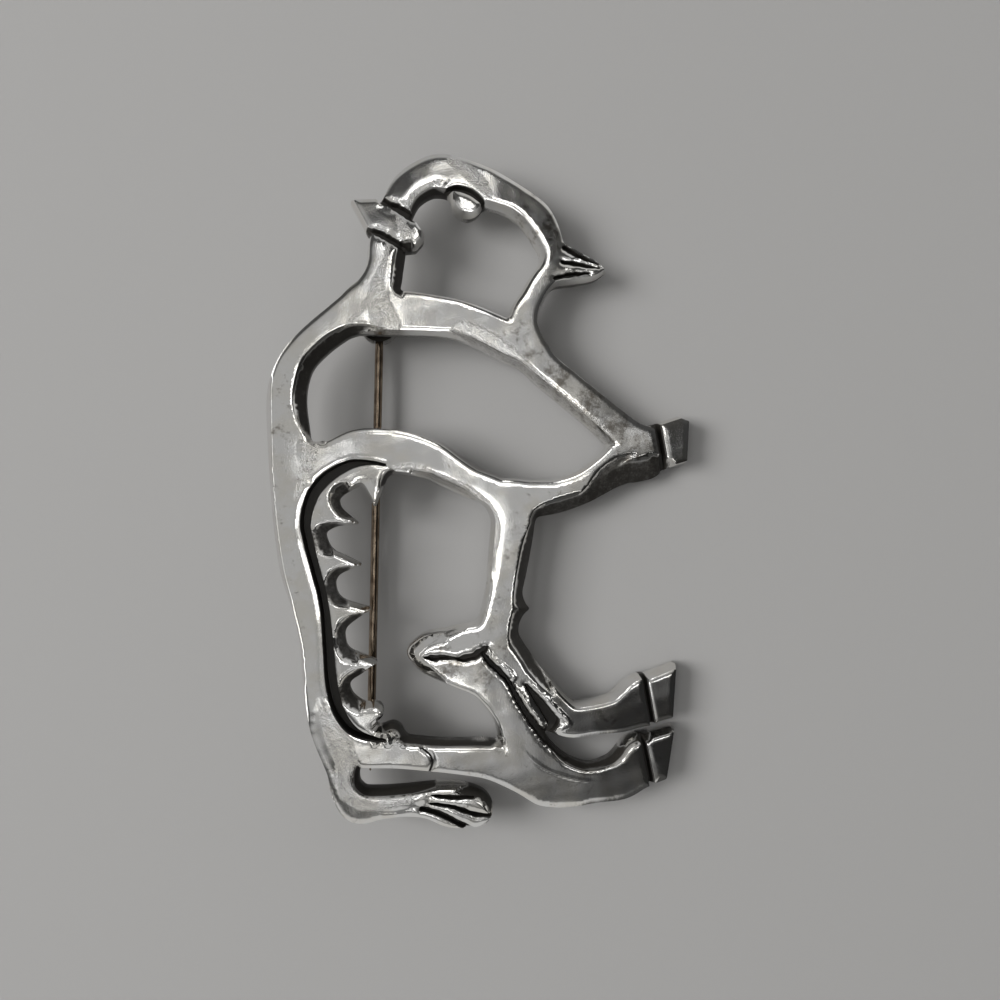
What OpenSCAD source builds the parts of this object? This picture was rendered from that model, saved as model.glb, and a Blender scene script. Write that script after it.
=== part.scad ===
// Openwork bison brooch, cast in silver, lying face up on its pin findings.
// The plate is drawn flat, in profile, with the head up, the back to the left and the legs to the right,
// and the finished brooch is then leaned onto its ball joint, its catch and its front hoof.

/* [Plate] */
// Width of the bison across back and hooves
casting_w = 45.2; // [35:0.1:60]
// Height of the bison from crown to tail
casting_h = 71.6; // [56:0.1:96]
// Thickness of the casting
plate_t = 2.8; // [2:0.1:4]
// Width of the sloping edge round the face
bevel_w = 0.6; // [0.3:0.05:0.8]
// Height of the sloping edge
bevel_h = 1.3; // [0.6:0.1:1.8]
// Depth of the engraved grooves
groove_depth = 1.1; // [0.5:0.1:1.5]
// Depth of the blackened channel inside the back
channel_depth = 1.8; // [0.8:0.1:1.9]

/* [Pin findings] */
// Diameter of the steel pin wire
wire_d = 0.9; // [0.8:0.05:1]
// Length of the pin from the rivet to its point
stem_length = 48.6; // [47.5:0.1:49.5]
// Length of the pin that is drawn down to its point
point_run = 5.4; // [5.2:0.1:6]
// Distance from the rivet to the middle of the catch
catch_run = 45.4; // [44.5:0.1:46]
// Sideways lean of the pin towards the back of the bison
stem_lean = 1.2; // [0.8:0.1:1.6]
// Radius of the ball joint
ball_r = 2.1; // [2:0.05:2.3]
// Radius of the barrel-shaped catch
barrel_r = 2.2; // [2:0.05:2.3]
// Length of the catch along the pin
barrel_w = 2.4; // [1.8:0.1:3]
// Height of the rivet and the pin below the back of the plate
pin_drop = 1.9; // [1.7:0.05:2]
// Diameter of the rivet
rivet_d = 0.7; // [0.6:0.05:0.8]

/* [Hidden] */
$fn = 48;

// Limbs of the bison: one row for each section, with the middle of the limb and its width there
// columns: x, y, width
crown = [
    [-9.3, 29.6, 3.8], [-8.2, 31.9, 3.9], [-6.2, 33.3, 4.0], [-4.3, 33.65, 4.1],
    [-2.0, 33.2, 4.0], [0.6, 32.4, 3.8], [3.1, 31.5, 3.3], [5.2, 30.1, 4.0],
    [6.6, 28.1, 4.1], [7.4, 26.0, 3.3], [7.6, 24.4, 3.0]
];
eye = [[-1.6, 31.6, 3.6], [-1.6, 30.2, 3.5], [-1.7, 29.0, 1.8]];
horn = [[-13.9, 30.6, 0.6], [-11.9, 29.4, 2.5], [-9.6, 28.3, 3.0], [-7.9, 27.3, 3.2], [-7.1, 26.8, 2.7]];
neck = [[-9.7, 28.0, 3.0], [-10.4, 26.0, 3.1], [-10.6, 23.8, 3.1], [-11.0, 21.8, 3.8], [-12.4, 19.6, 4.2]];
beard = [[7.0, 24.1, 4.4], [8.6, 24.1, 4.7], [10.2, 24.1, 3.5], [11.8, 24.0, 2.3], [13.5, 23.9, 0.7]];
back = [
    [-12.6, 19.6, 4.2], [-15.0, 17.8, 3.7], [-17.2, 16.0, 3.5], [-19.1, 13.9, 3.5],
    [-20.1, 11.6, 3.8], [-20.4, 9.0, 4.0], [-20.1, 5.0, 4.3], [-19.8, 0.0, 4.3],
    [-19.4, -4.0, 4.4], [-18.8, -8.0, 4.4], [-17.6, -12.0, 4.3], [-16.9, -16.0, 4.1],
    [-16.7, -20.0, 4.0], [-16.1, -24.0, 4.1], [-15.0, -27.4, 3.8], [-14.5, -29.8, 2.8]
];
ragged_strip = [
    [-10.6, 3.0, 2.0], [-13.0, 2.0, 2.4], [-16.0, 0.7, 3.4], [-17.0, -1.7, 2.8], [-17.4, -4.2, 2.0],
    [-16.9, -6.6, 2.2], [-16.4, -9.8, 2.0], [-15.8, -12.6, 2.0], [-15.3, -15.4, 1.8],
    [-15.0, -18.0, 2.0], [-14.6, -21.0, 1.6], [-13.4, -24.2, 3.2], [-11.9, -25.8, 2.6]
];
neck_bar = [[-13.5, 18.4, 3.4], [-10.0, 18.9, 4.6], [-5.0, 18.7, 4.2], [-2.0, 18.2, 4.0], [0.6, 17.2, 4.1],
    [3.4, 15.9, 4.2], [5.6, 14.6, 3.2]];
chest = [
    [6.4, 23.4, 4.0], [5.4, 21.0, 3.9], [4.7, 19.0, 3.8], [4.8, 16.8, 3.8], [6.3, 13.9, 3.7],
    [9.3, 11.3, 3.5], [12.7, 8.6, 3.6], [15.6, 6.2, 4.0], [17.6, 5.0, 4.4]
];
foreleg = [
    [19.1, 4.2, 5.6], [17.4, 4.0, 6.0], [15.6, 3.4, 4.8], [13.7, 2.2, 3.9], [11.1, 0.6, 3.5],
    [8.2, -0.4, 3.6], [5.4, -0.7, 4.0], [3.0, -0.8, 4.2]
];
elbow_bar = [
    [-18.0, 3.0, 4.2], [-15.6, 3.4, 4.2], [-13.0, 4.4, 4.6], [-10.6, 4.4, 4.8], [-8.0, 4.1, 4.6],
    [-5.4, 3.4, 4.0], [-3.5, 2.3, 3.6], [-1.3, 1.1, 3.2], [1.2, 0.0, 3.4], [3.4, -1.8, 4.4]
];
belly = [
    [3.3, -1.0, 4.6], [3.4, -3.0, 4.6], [3.2, -5.0, 4.5], [2.8, -8.0, 4.2], [2.4, -10.6, 3.9],
    [2.0, -13.2, 4.2], [1.6, -15.6, 4.6], [2.2, -18.0, 4.4]
];
navel_tuft = [[3.0, -12.3, 3.6], [4.9, -12.5, 0.7]];
flank = [
    [-7.9, -17.0, 1.6], [-7.4, -17.0, 2.8], [-6.2, -17.0, 3.9], [-5.0, -17.1, 4.7],
    [-3.2, -17.4, 5.8], [-1.0, -17.6, 7.2], [0.8, -17.8, 7.4], [2.3, -18.7, 6.2]
];
thigh = [
    [-1.2, -19.0, 3.4], [1.2, -21.2, 3.6], [3.0, -23.6, 3.8], [4.2, -26.2, 4.6], [5.4, -28.8, 5.6],
    [7.3, -30.7, 5.8], [9.6, -31.4, 4.8], [12.0, -31.5, 4.0], [14.8, -31.1, 4.6], [17.2, -29.9, 5.1],
    [18.0, -29.5, 5.0]
];
hind_leg = [
    [2.0, -16.4, 3.6], [3.3, -18.2, 3.8], [5.3, -20.8, 4.2], [7.3, -23.2, 4.3], [9.4, -24.5, 3.8],
    [12.0, -24.4, 3.6], [14.8, -24.1, 4.0], [16.9, -23.2, 4.8], [18.0, -22.8, 4.7]
];
rump_bar = [
    [-15.4, -26.0, 3.0], [-13.0, -27.2, 3.0], [-9.0, -27.4, 3.2], [-5.0, -27.9, 3.2], [-2.0, -28.2, 3.5],
    [1.0, -28.6, 4.0], [3.8, -29.8, 4.2], [6.4, -31.3, 4.2]
];
tail = [
    [-14.5, -29.0, 2.8], [-14.4, -30.9, 3.1], [-13.0, -32.7, 3.6], [-10.6, -32.7, 3.0], [-8.0, -32.6, 2.9],
    [-5.6, -32.7, 3.4], [-3.2, -33.2, 4.4], [-1.0, -33.6, 4.2], [0.7, -33.8, 2.8]
];
LIMBS = [
    crown, eye, horn, neck, beard, back, ragged_strip, neck_bar, chest, foreleg, elbow_bar, belly,
    navel_tuft, flank, thigh, hind_leg, rump_bar, tail
];

// Tufts of the ragged strip: each narrows quickly from its root to a point
// columns: x, y, width
TUFTS = [
    [[-11.6, 2.6, 3.6], [-11.4, 0.7, 2.0], [-11.3, -1.4, 0.6]],
    [[-16.6, -2.2, 3.6], [-15.2, -2.6, 1.9], [-13.0, -3.3, 0.6]],
    [[-16.8, -7.7, 3.8], [-15.1, -7.5, 2.1], [-12.8, -7.6, 0.6]],
    [[-15.9, -12.9, 4.0], [-14.0, -12.6, 2.1], [-11.8, -12.3, 0.6]],
    [[-15.2, -18.2, 4.0], [-13.4, -18.1, 2.4], [-11.1, -17.9, 0.7]],
    [[-14.3, -23.3, 3.4], [-12.6, -23.4, 2.6], [-10.9, -22.9, 2.0]]
];

// Hooves: blunt blocks past the groove of each foot
// columns: x, y, width
HOOVES = [
    [[19.2, 4.8, 5.0], [20.8, 5.4, 5.4], [22.6, 5.8, 5.2]],
    [[17.7, -22.7, 4.8], [19.4, -22.1, 5.4], [21.2, -21.6, 5.8]],
    [[17.5, -29.5, 5.2], [19.2, -28.8, 5.9], [21.0, -28.6, 5.9]]
];

// Engraved lines, each a limb of its own that is cut into the face
// columns: x, y, width
GROOVES = [
    [[19.0, 7.6, 0.7], [19.3, 5.6, 0.7], [20.0, 1.9, 0.6]],
    [[17.5, -20.0, 0.6], [18.4, -25.2, 0.6]],
    [[17.3, -26.6, 0.6], [18.4, -32.2, 0.6]],
    [[-11.4, 30.7, 0.4], [-9.5, 29.7, 0.6], [-7.0, 28.2, 0.7]],
    [[-12.4, 27.7, 0.4], [-10.4, 27.0, 0.6], [-8.4, 25.9, 0.6]],
    [[-3.8, 31.7, 0.3], [-2.2, 31.8, 0.6], [-0.6, 31.2, 0.6], [0.4, 30.2, 0.4]],
    [[8.8, 25.9, 0.6], [10.6, 25.0, 0.5], [12.4, 24.2, 0.2]],
    [[8.6, 24.3, 0.4], [10.6, 24.0, 0.4], [12.3, 24.0, 0.2]],
    [[7.8, 23.0, 0.4], [10.0, 23.3, 0.4], [11.8, 23.7, 0.2]],
    [[-6.4, -33.0, 0.5], [-4.0, -33.6, 0.5], [-1.0, -35.0, 0.4]],
    [[-4.4, -32.5, 0.4], [-2.0, -33.3, 0.4], [0.4, -33.5, 0.3]],
    [[-5.2, -31.6, 0.3], [-2.6, -31.8, 0.4], [-0.4, -32.3, 0.3]],
    [[-5.7, -17.4, 0.5], [-4.0, -17.5, 0.9], [-1.2, -17.5, 0.8], [0.8, -16.7, 0.6]],
    [[0.0, -18.1, 0.5], [1.6, -19.0, 0.5], [2.9, -20.4, 0.6], [4.2, -22.4, 0.6], [6.2, -25.4, 0.7],
        [8.4, -27.8, 0.8]],
    [[4.4, -20.4, 0.4], [5.8, -21.8, 1.0], [7.2, -23.8, 1.1]],
    [[-5.9, -26.9, 0.2], [-5.3, -28.0, 0.2], [-6.0, -29.6, 0.2]]
];

// Blackened channel between the back and the ragged strip
// columns: x, y, width
CHANNEL = [
    [-10.2, 2.8, 0.2], [-12.0, 3.1, 0.4], [-14.0, 2.8, 0.9], [-16.2, 1.4, 1.2], [-17.6, -0.4, 1.2],
    [-18.3, -3.0, 1.0], [-18.0, -5.2, 0.9], [-17.4, -7.6, 0.9], [-16.7, -10.3, 0.8], [-16.3, -12.6, 0.8],
    [-16.0, -16.0, 1.0], [-15.7, -19.6, 1.1], [-15.1, -22.3, 1.1], [-13.9, -24.3, 1.0], [-12.4, -25.3, 0.6],
    [-10.2, -25.8, 0.3]
];

// Findings on the back of the plate
rivet_at = [-10.9, 18.2];
wire_r = wire_d / 2;
rivet_r = rivet_d / 2;
slot_w = wire_d + 0.1;
eye_r = 1.1;
neck_run = 3.2;
neck_r = 0.9 * wire_r;
point_r = 0.08;
rivet_fit = 0.02;
running_fit = 0.05;
wire_room = 0.12;

// The brooch lies on the ball, the barrel and the front hoof, so it leans towards the hooves.
// A little more than half of its width lies on the hooves' side of x = 0
hoof_share = 0.5084;
hoof_reach = hoof_share * casting_w;
rest_tilt = asin((pin_drop + ball_r) / (hoof_reach - rivet_at[0]));
rest_lift = hoof_reach * sin(rest_tilt);
lean_middle = ((2 * hoof_reach - casting_w) * cos(rest_tilt) + (plate_t - bevel_h) * sin(rest_tilt)) / 2;

// One point of a smooth curve through rows a, b, c and d, a share s of the way from b to c
function curve_point(a, b, c, d, s) =
    0.5 * (2 * b + (c - a) * s + (2 * a - 5 * b + 4 * c - d) * s * s + (3 * b - a - 3 * c + d) * s * s * s);

// The rows of a limb with smooth rows worked out between them
function smooth_rows(rows, steps) =
    let (last = len(rows) - 1)
    concat(
        [for (i = [0:last - 1]) for (k = [0:steps - 1])
            curve_point(rows[max(i - 1, 0)], rows[i], rows[i + 1], rows[min(i + 2, last)], k / steps)],
        [rows[last]]
    );

function flat(row) = [row[0], row[1]];

function unit(v) = v / norm(v);

function side_point(rows, i, side) =
    let (
        ahead = unit(flat(rows[min(i + 1, len(rows) - 1)]) - flat(rows[max(i - 1, 0)])),
        half = rows[i][2] / 2
    )
    flat(rows[i]) + side * half * [-ahead[1], ahead[0]];

// The bevelled section of a limb at row i: six corners, from the back of one side over to the other
function section(rows, i) =
    let (
        last = len(rows) - 1,
        ahead = unit(flat(rows[min(i + 1, last)]) - flat(rows[max(i - 1, 0)])),
        across = [-ahead[1], ahead[0]],
        half = rows[i][2] / 2,
        slope = min(bevel_w, 0.8 * half),
        inwards = i == 0 ? slope : i == last ? -slope : 0,
        edge_a = flat(rows[i]) - half * across,
        edge_b = flat(rows[i]) + half * across,
        face_a = edge_a + slope * across + inwards * ahead,
        face_b = edge_b - slope * across + inwards * ahead
    )
    [
        [edge_a[0], edge_a[1], 0],
        [edge_a[0], edge_a[1], plate_t - bevel_h],
        [face_a[0], face_a[1], plate_t],
        [face_b[0], face_b[1], plate_t],
        [edge_b[0], edge_b[1], plate_t - bevel_h],
        [edge_b[0], edge_b[1], 0]
    ];

// A limb of the plate, lofted through its sections
module limb(rows, steps = 2) {
    smooth = smooth_rows(rows, steps);
    last = len(smooth) - 1;
    polyhedron(
        points = [for (i = [0:last]) each section(smooth, i)],
        faces = concat(
            [[5, 4, 3, 2, 1, 0]],
            [for (i = [0:last - 1]) for (k = [0:5]) [6 * i + k, 6 * i + (k + 1) % 6, 6 * i + 6 + k]],
            [for (i = [0:last - 1]) for (k = [0:5])
                [6 * i + (k + 1) % 6, 6 * i + 6 + (k + 1) % 6, 6 * i + 6 + k]],
            [[for (k = [0:5]) 6 * last + k]]
        )
    );
}

// An engraved line seen from above
module engraved_line(rows, steps = 2) {
    smooth = smooth_rows(rows, steps);
    last = len(smooth) - 1;
    polygon(concat(
        [for (i = [0:last]) side_point(smooth, i, 1)],
        [for (i = [last:-1:0]) side_point(smooth, i, -1)]
    ));
}

// The plate with its sloping edge, its engraved lines and its channel
module plate() {
    resize([casting_w, casting_h, plate_t]) difference() {
        union() {
            for (rows = LIMBS) limb(rows);
            for (rows = TUFTS) limb(rows);
            for (rows = HOOVES) limb(rows, 1);
        }
        translate([0, 0, plate_t - groove_depth])
            linear_extrude(height = groove_depth + 1) for (rows = GROOVES) engraved_line(rows);
        translate([0, 0, plate_t - channel_depth])
            linear_extrude(height = channel_depth + 1) engraved_line(CHANNEL);
    }
}

// Puts what lies along the pin in its place: the rivet is at the origin and the pin runs to -Y
module at_rivet() {
    translate([rivet_at[0], rivet_at[1], -pin_drop]) rotate([0, 0, -stem_lean]) children();
}

// Leans the flat brooch to the way it lies, with its lowest points at z = 0 and its middle at x = 0
module at_rest() {
    translate([-lean_middle, 0, rest_lift]) rotate([0, rest_tilt, 0]) children();
}

// Ball with a slot for the pin's eye and a bore for the rivet, sunk into the back where it is soldered
module ball_joint() {
    slot_top = eye_r + 0.2;
    difference() {
        union() {
            sphere(r = ball_r);
            cylinder(r = ball_r - 0.6, h = pin_drop + 0.4);
        }
        translate([-slot_w / 2, -ball_r - 1, -ball_r - 1])
            cube([slot_w, 2 * ball_r + 2, ball_r + 1 + slot_top]);
        translate([-ball_r - 1, 0, 0]) rotate([0, 90, 0]) cylinder(r = rivet_r + rivet_fit, h = 2 * ball_r + 2);
    }
}

// Barrel that the pin snaps into through the mouth on its outer side
module catch() {
    translate([0, -catch_run, 0]) difference() {
        union() {
            rotate([90, 0, 0]) cylinder(r = barrel_r, h = barrel_w, center = true);
            translate([-barrel_r + 0.4, -barrel_w / 2, 0]) cube([2 * barrel_r - 0.8, barrel_w, pin_drop + 0.4]);
        }
        rotate([90, 0, 0]) cylinder(r = wire_r + wire_room, h = barrel_w + 2, center = true);
        translate([-slot_w / 2, -barrel_w / 2 - 1, -barrel_r - 1]) cube([slot_w, barrel_w + 2, barrel_r + 1]);
    }
}

module bison_casting() {
    color("silver") at_rest() {
        plate();
        at_rivet() {
            ball_joint();
            catch();
        }
    }
}

// Steel wire with a flat eye round the rivet, a slimmer neck inside the ball and a tapered point
module pin_stem() {
    color("darkgray") at_rest() at_rivet() difference() {
        union() {
            rotate([0, 90, 0]) cylinder(r = eye_r, h = wire_d, center = true);
            rotate([90, 0, 0]) cylinder(r1 = neck_r, r2 = wire_r, h = neck_run);
            translate([0, -neck_run, 0]) rotate([90, 0, 0])
                cylinder(r = wire_r, h = stem_length - neck_run - point_run);
            translate([0, point_run - stem_length, 0]) rotate([90, 0, 0])
                cylinder(r1 = wire_r, r2 = point_r, h = point_run);
        }
        rotate([0, 90, 0]) cylinder(r = rivet_r + running_fit, h = wire_d + 1, center = true);
    }
}

module joint_rivet() {
    color("gray") at_rest() at_rivet() rotate([0, 90, 0])
        cylinder(r = rivet_r, h = 2 * ball_r - 0.1, center = true);
}

bison_casting();
pin_stem();
joint_rivet();
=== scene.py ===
import math

import bmesh
import bpy
import numpy as np
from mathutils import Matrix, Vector
from mathutils.geometry import delaunay_2d_cdt


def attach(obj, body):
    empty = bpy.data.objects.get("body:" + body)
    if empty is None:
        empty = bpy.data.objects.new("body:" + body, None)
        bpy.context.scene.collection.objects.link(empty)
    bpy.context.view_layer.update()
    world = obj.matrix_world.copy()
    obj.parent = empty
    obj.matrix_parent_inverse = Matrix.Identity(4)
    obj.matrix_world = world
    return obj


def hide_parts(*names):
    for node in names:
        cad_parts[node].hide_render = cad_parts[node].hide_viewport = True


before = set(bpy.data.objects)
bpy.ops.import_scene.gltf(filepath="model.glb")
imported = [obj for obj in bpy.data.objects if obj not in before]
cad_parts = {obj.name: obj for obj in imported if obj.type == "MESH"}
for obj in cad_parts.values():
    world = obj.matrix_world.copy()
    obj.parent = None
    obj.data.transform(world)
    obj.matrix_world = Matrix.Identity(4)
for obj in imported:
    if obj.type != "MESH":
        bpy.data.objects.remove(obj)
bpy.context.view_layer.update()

MM = 0.001

# Camera
# It looks straight down from close above the table, as the photo does. Its aim is the middle of the picture,
# which lies a little to the right of the brooch's own middle.
CAMERA_PLACE = (1.64 * MM, -0.84 * MM, 90.0 * MM)
CAMERA_LENS_MM = 28.94
CAMERA_SENSOR_MM = 36.0

camera = bpy.data.objects.new("camera", bpy.data.cameras.new("camera"))
camera.data.lens = CAMERA_LENS_MM
camera.data.sensor_width = CAMERA_SENSOR_MM
camera.data.sensor_fit = "HORIZONTAL"
camera.data.clip_start = 0.001
camera.location = CAMERA_PLACE
bpy.context.scene.collection.objects.link(camera)
bpy.context.scene.camera = camera
bpy.context.scene.view_settings.view_transform = "Standard"

# Table
# A plain pale board, well wider than the view, that the brooch lies on.
TABLE_REACH = 0.6
BOARD_COLOUR = (0.393, 0.388, 0.383)


def new_material(name):
    """An empty node material with its Principled shader already wired to the surface."""
    made = bpy.data.materials.new(name)
    made.use_nodes = True
    return made, made.node_tree, made.node_tree.nodes["Principled BSDF"]


table = bpy.data.meshes.new("table")
corners = [(x * TABLE_REACH, y * TABLE_REACH, 0.0) for x, y in ((-1, -1), (1, -1), (1, 1), (-1, 1))]
table.from_pydata(corners, [], [(0, 1, 2, 3)])
table_top = bpy.data.objects.new("table", table)
bpy.context.scene.collection.objects.link(table_top)
board, board_tree, board_shader = new_material("pale_board")
board_shader.inputs["Base Color"].default_value = (*BOARD_COLOUR, 1.0)
board_shader.inputs["Roughness"].default_value = 0.7
board_shader.inputs["Specular IOR Level"].default_value = 0.2
table.materials.append(board)

# Light
# A large soft box on the left throws the soft shadows to the right. The room is grey and brightest above.
# Polished silver shows only what it mirrors, so many small panels of light stand in the room, each where an
# edge or face of the brooch mirrors it upward. Three of them take light away, and wide walls stand all round.
ROOM_DARK = 0.06
ROOM_GREY = 0.33
ROOM_MIDDLE = (0.09, -0.02)
ROOM_MIDDLE_REACH = (0.29, 0.42)
# The panels as they lie on a ceiling one metre up, in metres. A brightness below 0 takes light away.
# columns: left edge, right edge, near edge, far edge, softness, brightness
ROOM_PANELS = [
    (0.09, 0.19, -0.125, -0.025, 0.012, 3.2),
    (0.10, 0.25, 0.110, 0.145, 0.010, 3.0),
    (0.25, 0.285, 0.105, 0.125, 0.006, 2.8),
    (0.215, 0.285, 0.055, 0.105, 0.008, 2.8),
    (0.285, 0.325, 0.058, 0.085, 0.006, 2.6),
    (0.16, 0.26, 0.272, 0.330, 0.010, 3.2),
    (0.084, 0.113, 0.185, 0.240, 0.012, 2.5),
    (0.098, 0.116, 0.245, 0.335, 0.012, 2.2),
    (0.030, 0.060, 0.180, 0.200, 0.010, 0.6),
    (0.170, 0.212, 0.335, 0.41, 0.020, 2.4),
    (0.188, 0.222, 0.180, 0.200, 0.008, 2.4),
    (0.222, 0.258, 0.155, 0.180, 0.008, 2.4),
    (0.150, 0.188, 0.012, 0.030, 0.006, 1.6),
    (0.188, 0.218, -0.015, 0.006, 0.006, 1.6),
    (0.212, 0.230, -0.070, -0.015, 0.006, 1.5),
    (0.014, 0.030, 0.042, 0.070, 0.008, 1.8),
    (0.12, 0.20, -0.27, -0.232, 0.010, 2.6),
    (0.33, 0.44, -0.175, -0.13, 0.010, 2.3),
    (0.420, 0.450, 0.060, 0.095, 0.015, 0.9),
    (0.405, 0.460, -0.262, -0.190, 0.015, 0.1),
    (0.220, 0.360, -0.380, -0.315, 0.015, 0.08),
    (-0.050, 0.068, -0.390, -0.325, 0.020, -0.15),
    (0.063, 0.100, -0.280, -0.235, 0.008, -0.20),
    (0.038, 0.092, -0.235, 0.030, 0.012, -0.09),
    (0.038, 0.078, -0.305, -0.255, 0.025, 1.1),
    (0.06, 0.13, -0.36, -0.335, 0.010, 0.8),
    # the wide walls
    (-0.42, -0.30, -0.60, 0.60, 0.03, 1.8),
    (-0.30, 0.28, 0.52, 100.0, 0.06, 0.30),
    (0.28, 100.0, 0.50, 100.0, 0.06, 0.45),
    (-0.22, 0.42, -100.0, -0.43, 0.04, 0.45),
    (-100.0, -0.35, -100.0, 100.0, 0.2, 0.30),
]

# A dark stretch on the right, darkest low down, which the hooves and legs mirror. Its left edge and its near
# edge run aslant. Pairs give where an edge or a shade starts and ends.
SIDE_LEFT_EDGE = (0.32, 0.40)
SIDE_LEFT_SLANT = 0.5
SIDE_SLANT_STOPS = -0.2
SIDE_FAR_EDGE = (0.05, 0.30)
SIDE_NEAR_EDGE = (-0.312, -0.298)
SIDE_NEAR_SLANT = 0.39
SIDE_NEAR_AT = 0.265
SIDE_SHADE = 0.66
SIDE_SHADE_LOST = 0.28
SIDE_SHADE_FADE = (-0.12, 0.0)

LEAST_RISE = 0.02
ROOM_WHITE = (1.0, 0.997, 0.987)
SOFT_BOX_WHITE = (1.0, 0.997, 0.99)


class Nodes:
    """Short calls for the nodes of one tree. A value is a number or another node's output."""

    def __init__(self, tree):
        self.tree = tree

    def math(self, operation, first, second=0.0):
        node = self.tree.nodes.new("ShaderNodeMath")
        node.operation = operation
        for socket, value in zip(node.inputs, (first, second)):
            if isinstance(value, (int, float)):
                socket.default_value = value
            else:
                self.tree.links.new(value, socket)
        return node.outputs["Value"]

    def plus(self, first, second):
        return self.math("ADD", first, second)

    def minus(self, first, second):
        return self.math("SUBTRACT", first, second)

    def times(self, first, second):
        return self.math("MULTIPLY", first, second)

    def ramp(self, value, low, high, new_low=0.0, new_high=1.0):
        """The new low below low, the new high above high, and a soft rise between."""
        node = self.tree.nodes.new("ShaderNodeMapRange")
        node.interpolation_type = "SMOOTHSTEP"
        ends = {"From Min": low, "From Max": high, "To Min": new_low, "To Max": new_high}
        for socket, number in ends.items():
            node.inputs[socket].default_value = number
        self.tree.links.new(value, node.inputs["Value"])
        return node.outputs["Result"]


sky = bpy.data.worlds.new("studio")
sky.use_nodes = True
bpy.context.scene.world = sky
sky_links = sky.node_tree.links
heading = sky.node_tree.nodes.new("ShaderNodeSeparateXYZ")
view_way = sky.node_tree.nodes.new("ShaderNodeTexCoord")
sky_links.new(view_way.outputs["Generated"], heading.inputs["Vector"])

room = Nodes(sky.node_tree)
rise = room.math("MAXIMUM", heading.outputs["Z"], LEAST_RISE)
across = room.math("DIVIDE", heading.outputs["X"], rise)
along = room.math("DIVIDE", heading.outputs["Y"], rise)
off_x = room.minus(across, ROOM_MIDDLE[0])
off_y = room.minus(along, ROOM_MIDDLE[1])
off = room.math("SQRT", room.plus(room.times(off_x, off_x), room.times(off_y, off_y)))
grey = room.minus(1.0, room.ramp(off, *ROOM_MIDDLE_REACH))
brightness = room.plus(room.times(grey, ROOM_GREY), ROOM_DARK)

slant = room.math("MINIMUM", room.math("MAXIMUM", along, SIDE_SLANT_STOPS), 0.0)
dark_side = room.ramp(room.minus(across, room.times(slant, SIDE_LEFT_SLANT)), *SIDE_LEFT_EDGE)
dark_side = room.times(dark_side, room.minus(1.0, room.ramp(along, *SIDE_FAR_EDGE)))
foot = room.plus(along, room.times(room.minus(across, SIDE_NEAR_AT), SIDE_NEAR_SLANT))
dark_side = room.times(dark_side, room.ramp(foot, *SIDE_NEAR_EDGE))
shade = room.minus(SIDE_SHADE, room.times(room.ramp(along, *SIDE_SHADE_FADE), SIDE_SHADE_LOST))
brightness = room.times(brightness, room.minus(1.0, room.times(dark_side, shade)))

for left, right, near, far, soft, strength in ROOM_PANELS:
    panel = room.ramp(across, left - soft, left + soft)
    panel = room.times(panel, room.minus(1.0, room.ramp(across, right - soft, right + soft)))
    panel = room.times(panel, room.ramp(along, near - soft, near + soft))
    panel = room.times(panel, room.minus(1.0, room.ramp(along, far - soft, far + soft)))
    brightness = room.plus(brightness, room.times(panel, strength))
backdrop = sky.node_tree.nodes["Background"]
sky_links.new(brightness, backdrop.inputs["Strength"])
backdrop.inputs["Color"].default_value = (*ROOM_WHITE, 1.0)

SOFT_BOX_PLACE = Vector((-0.80, 0.12, 0.68))
SOFT_BOX_SIZE = 0.52
SOFT_BOX_WATTS = 9.8
soft_box = bpy.data.lights.new("soft_box", "AREA")
soft_box.size = SOFT_BOX_SIZE
soft_box.energy = SOFT_BOX_WATTS
soft_box.color = SOFT_BOX_WHITE
soft_lamp = bpy.data.objects.new("soft_box", soft_box)
soft_lamp.location = SOFT_BOX_PLACE
soft_lamp.visible_glossy = False
soft_lamp.rotation_euler = (-SOFT_BOX_PLACE).to_track_quat("-Z", "Y").to_euler()
bpy.context.scene.collection.objects.link(soft_lamp)

# Bison casting
# The brooch itself: one pierced silver casting of a bison in profile, its face filed flat and polished, its
# engraved lines and the channel inside the back left black with oxide. It is drawn flat in mm, as strands
# with a middle line and a width, and then leaned as it lies, on the ball joint, the catch and the hoof.
PLATE_T = 2.8
PLATE_W = 45.2
HOOF_SHARE = 0.5084
HOOF_REACH = HOOF_SHARE * PLATE_W
RIVET_AT = (-10.9, 18.2)
PIN_DROP = 1.9
BALL_R = 2.1
REST_TILT = math.asin((PIN_DROP + BALL_R) / (HOOF_REACH - RIVET_AT[0]))
REST_LIFT = HOOF_REACH * math.sin(REST_TILT)
WALL_TOP = 1.5
LEAN_MIDDLE = ((2 * HOOF_REACH - PLATE_W) * math.cos(REST_TILT) + WALL_TOP * math.sin(REST_TILT)) / 2

# columns: x, y, width
CROWN = [
    (-9.15, 29.5, 3.5), (-8.0, 31.7, 3.55), (-6.1, 33.15, 3.7), (-4.3, 33.6, 4.0), (-2.0, 33.2, 4.0),
    (0.6, 32.4, 3.8), (3.1, 31.4, 3.2), (4.8, 30.4, 3.1), (5.9, 29.4, 3.3), (6.8, 28.0, 3.1),
    (7.5, 26.4, 2.7), (7.9, 24.9, 2.5),
]
EYE = [(-1.6, 31.6, 3.4), (-1.6, 30.8, 3.3)]
NECK = [(-9.5, 28.0, 3.4), (-10.0, 26.0, 3.9), (-10.25, 23.8, 3.8), (-10.8, 21.8, 4.1), (-12.4, 19.6, 4.2)]
BEARD = [(8.5, 24.5, 4.0), (9.0, 24.4, 4.0), (10.2, 24.2, 3.2), (11.8, 24.0, 2.1), (13.3, 23.9, 0.3)]
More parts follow.
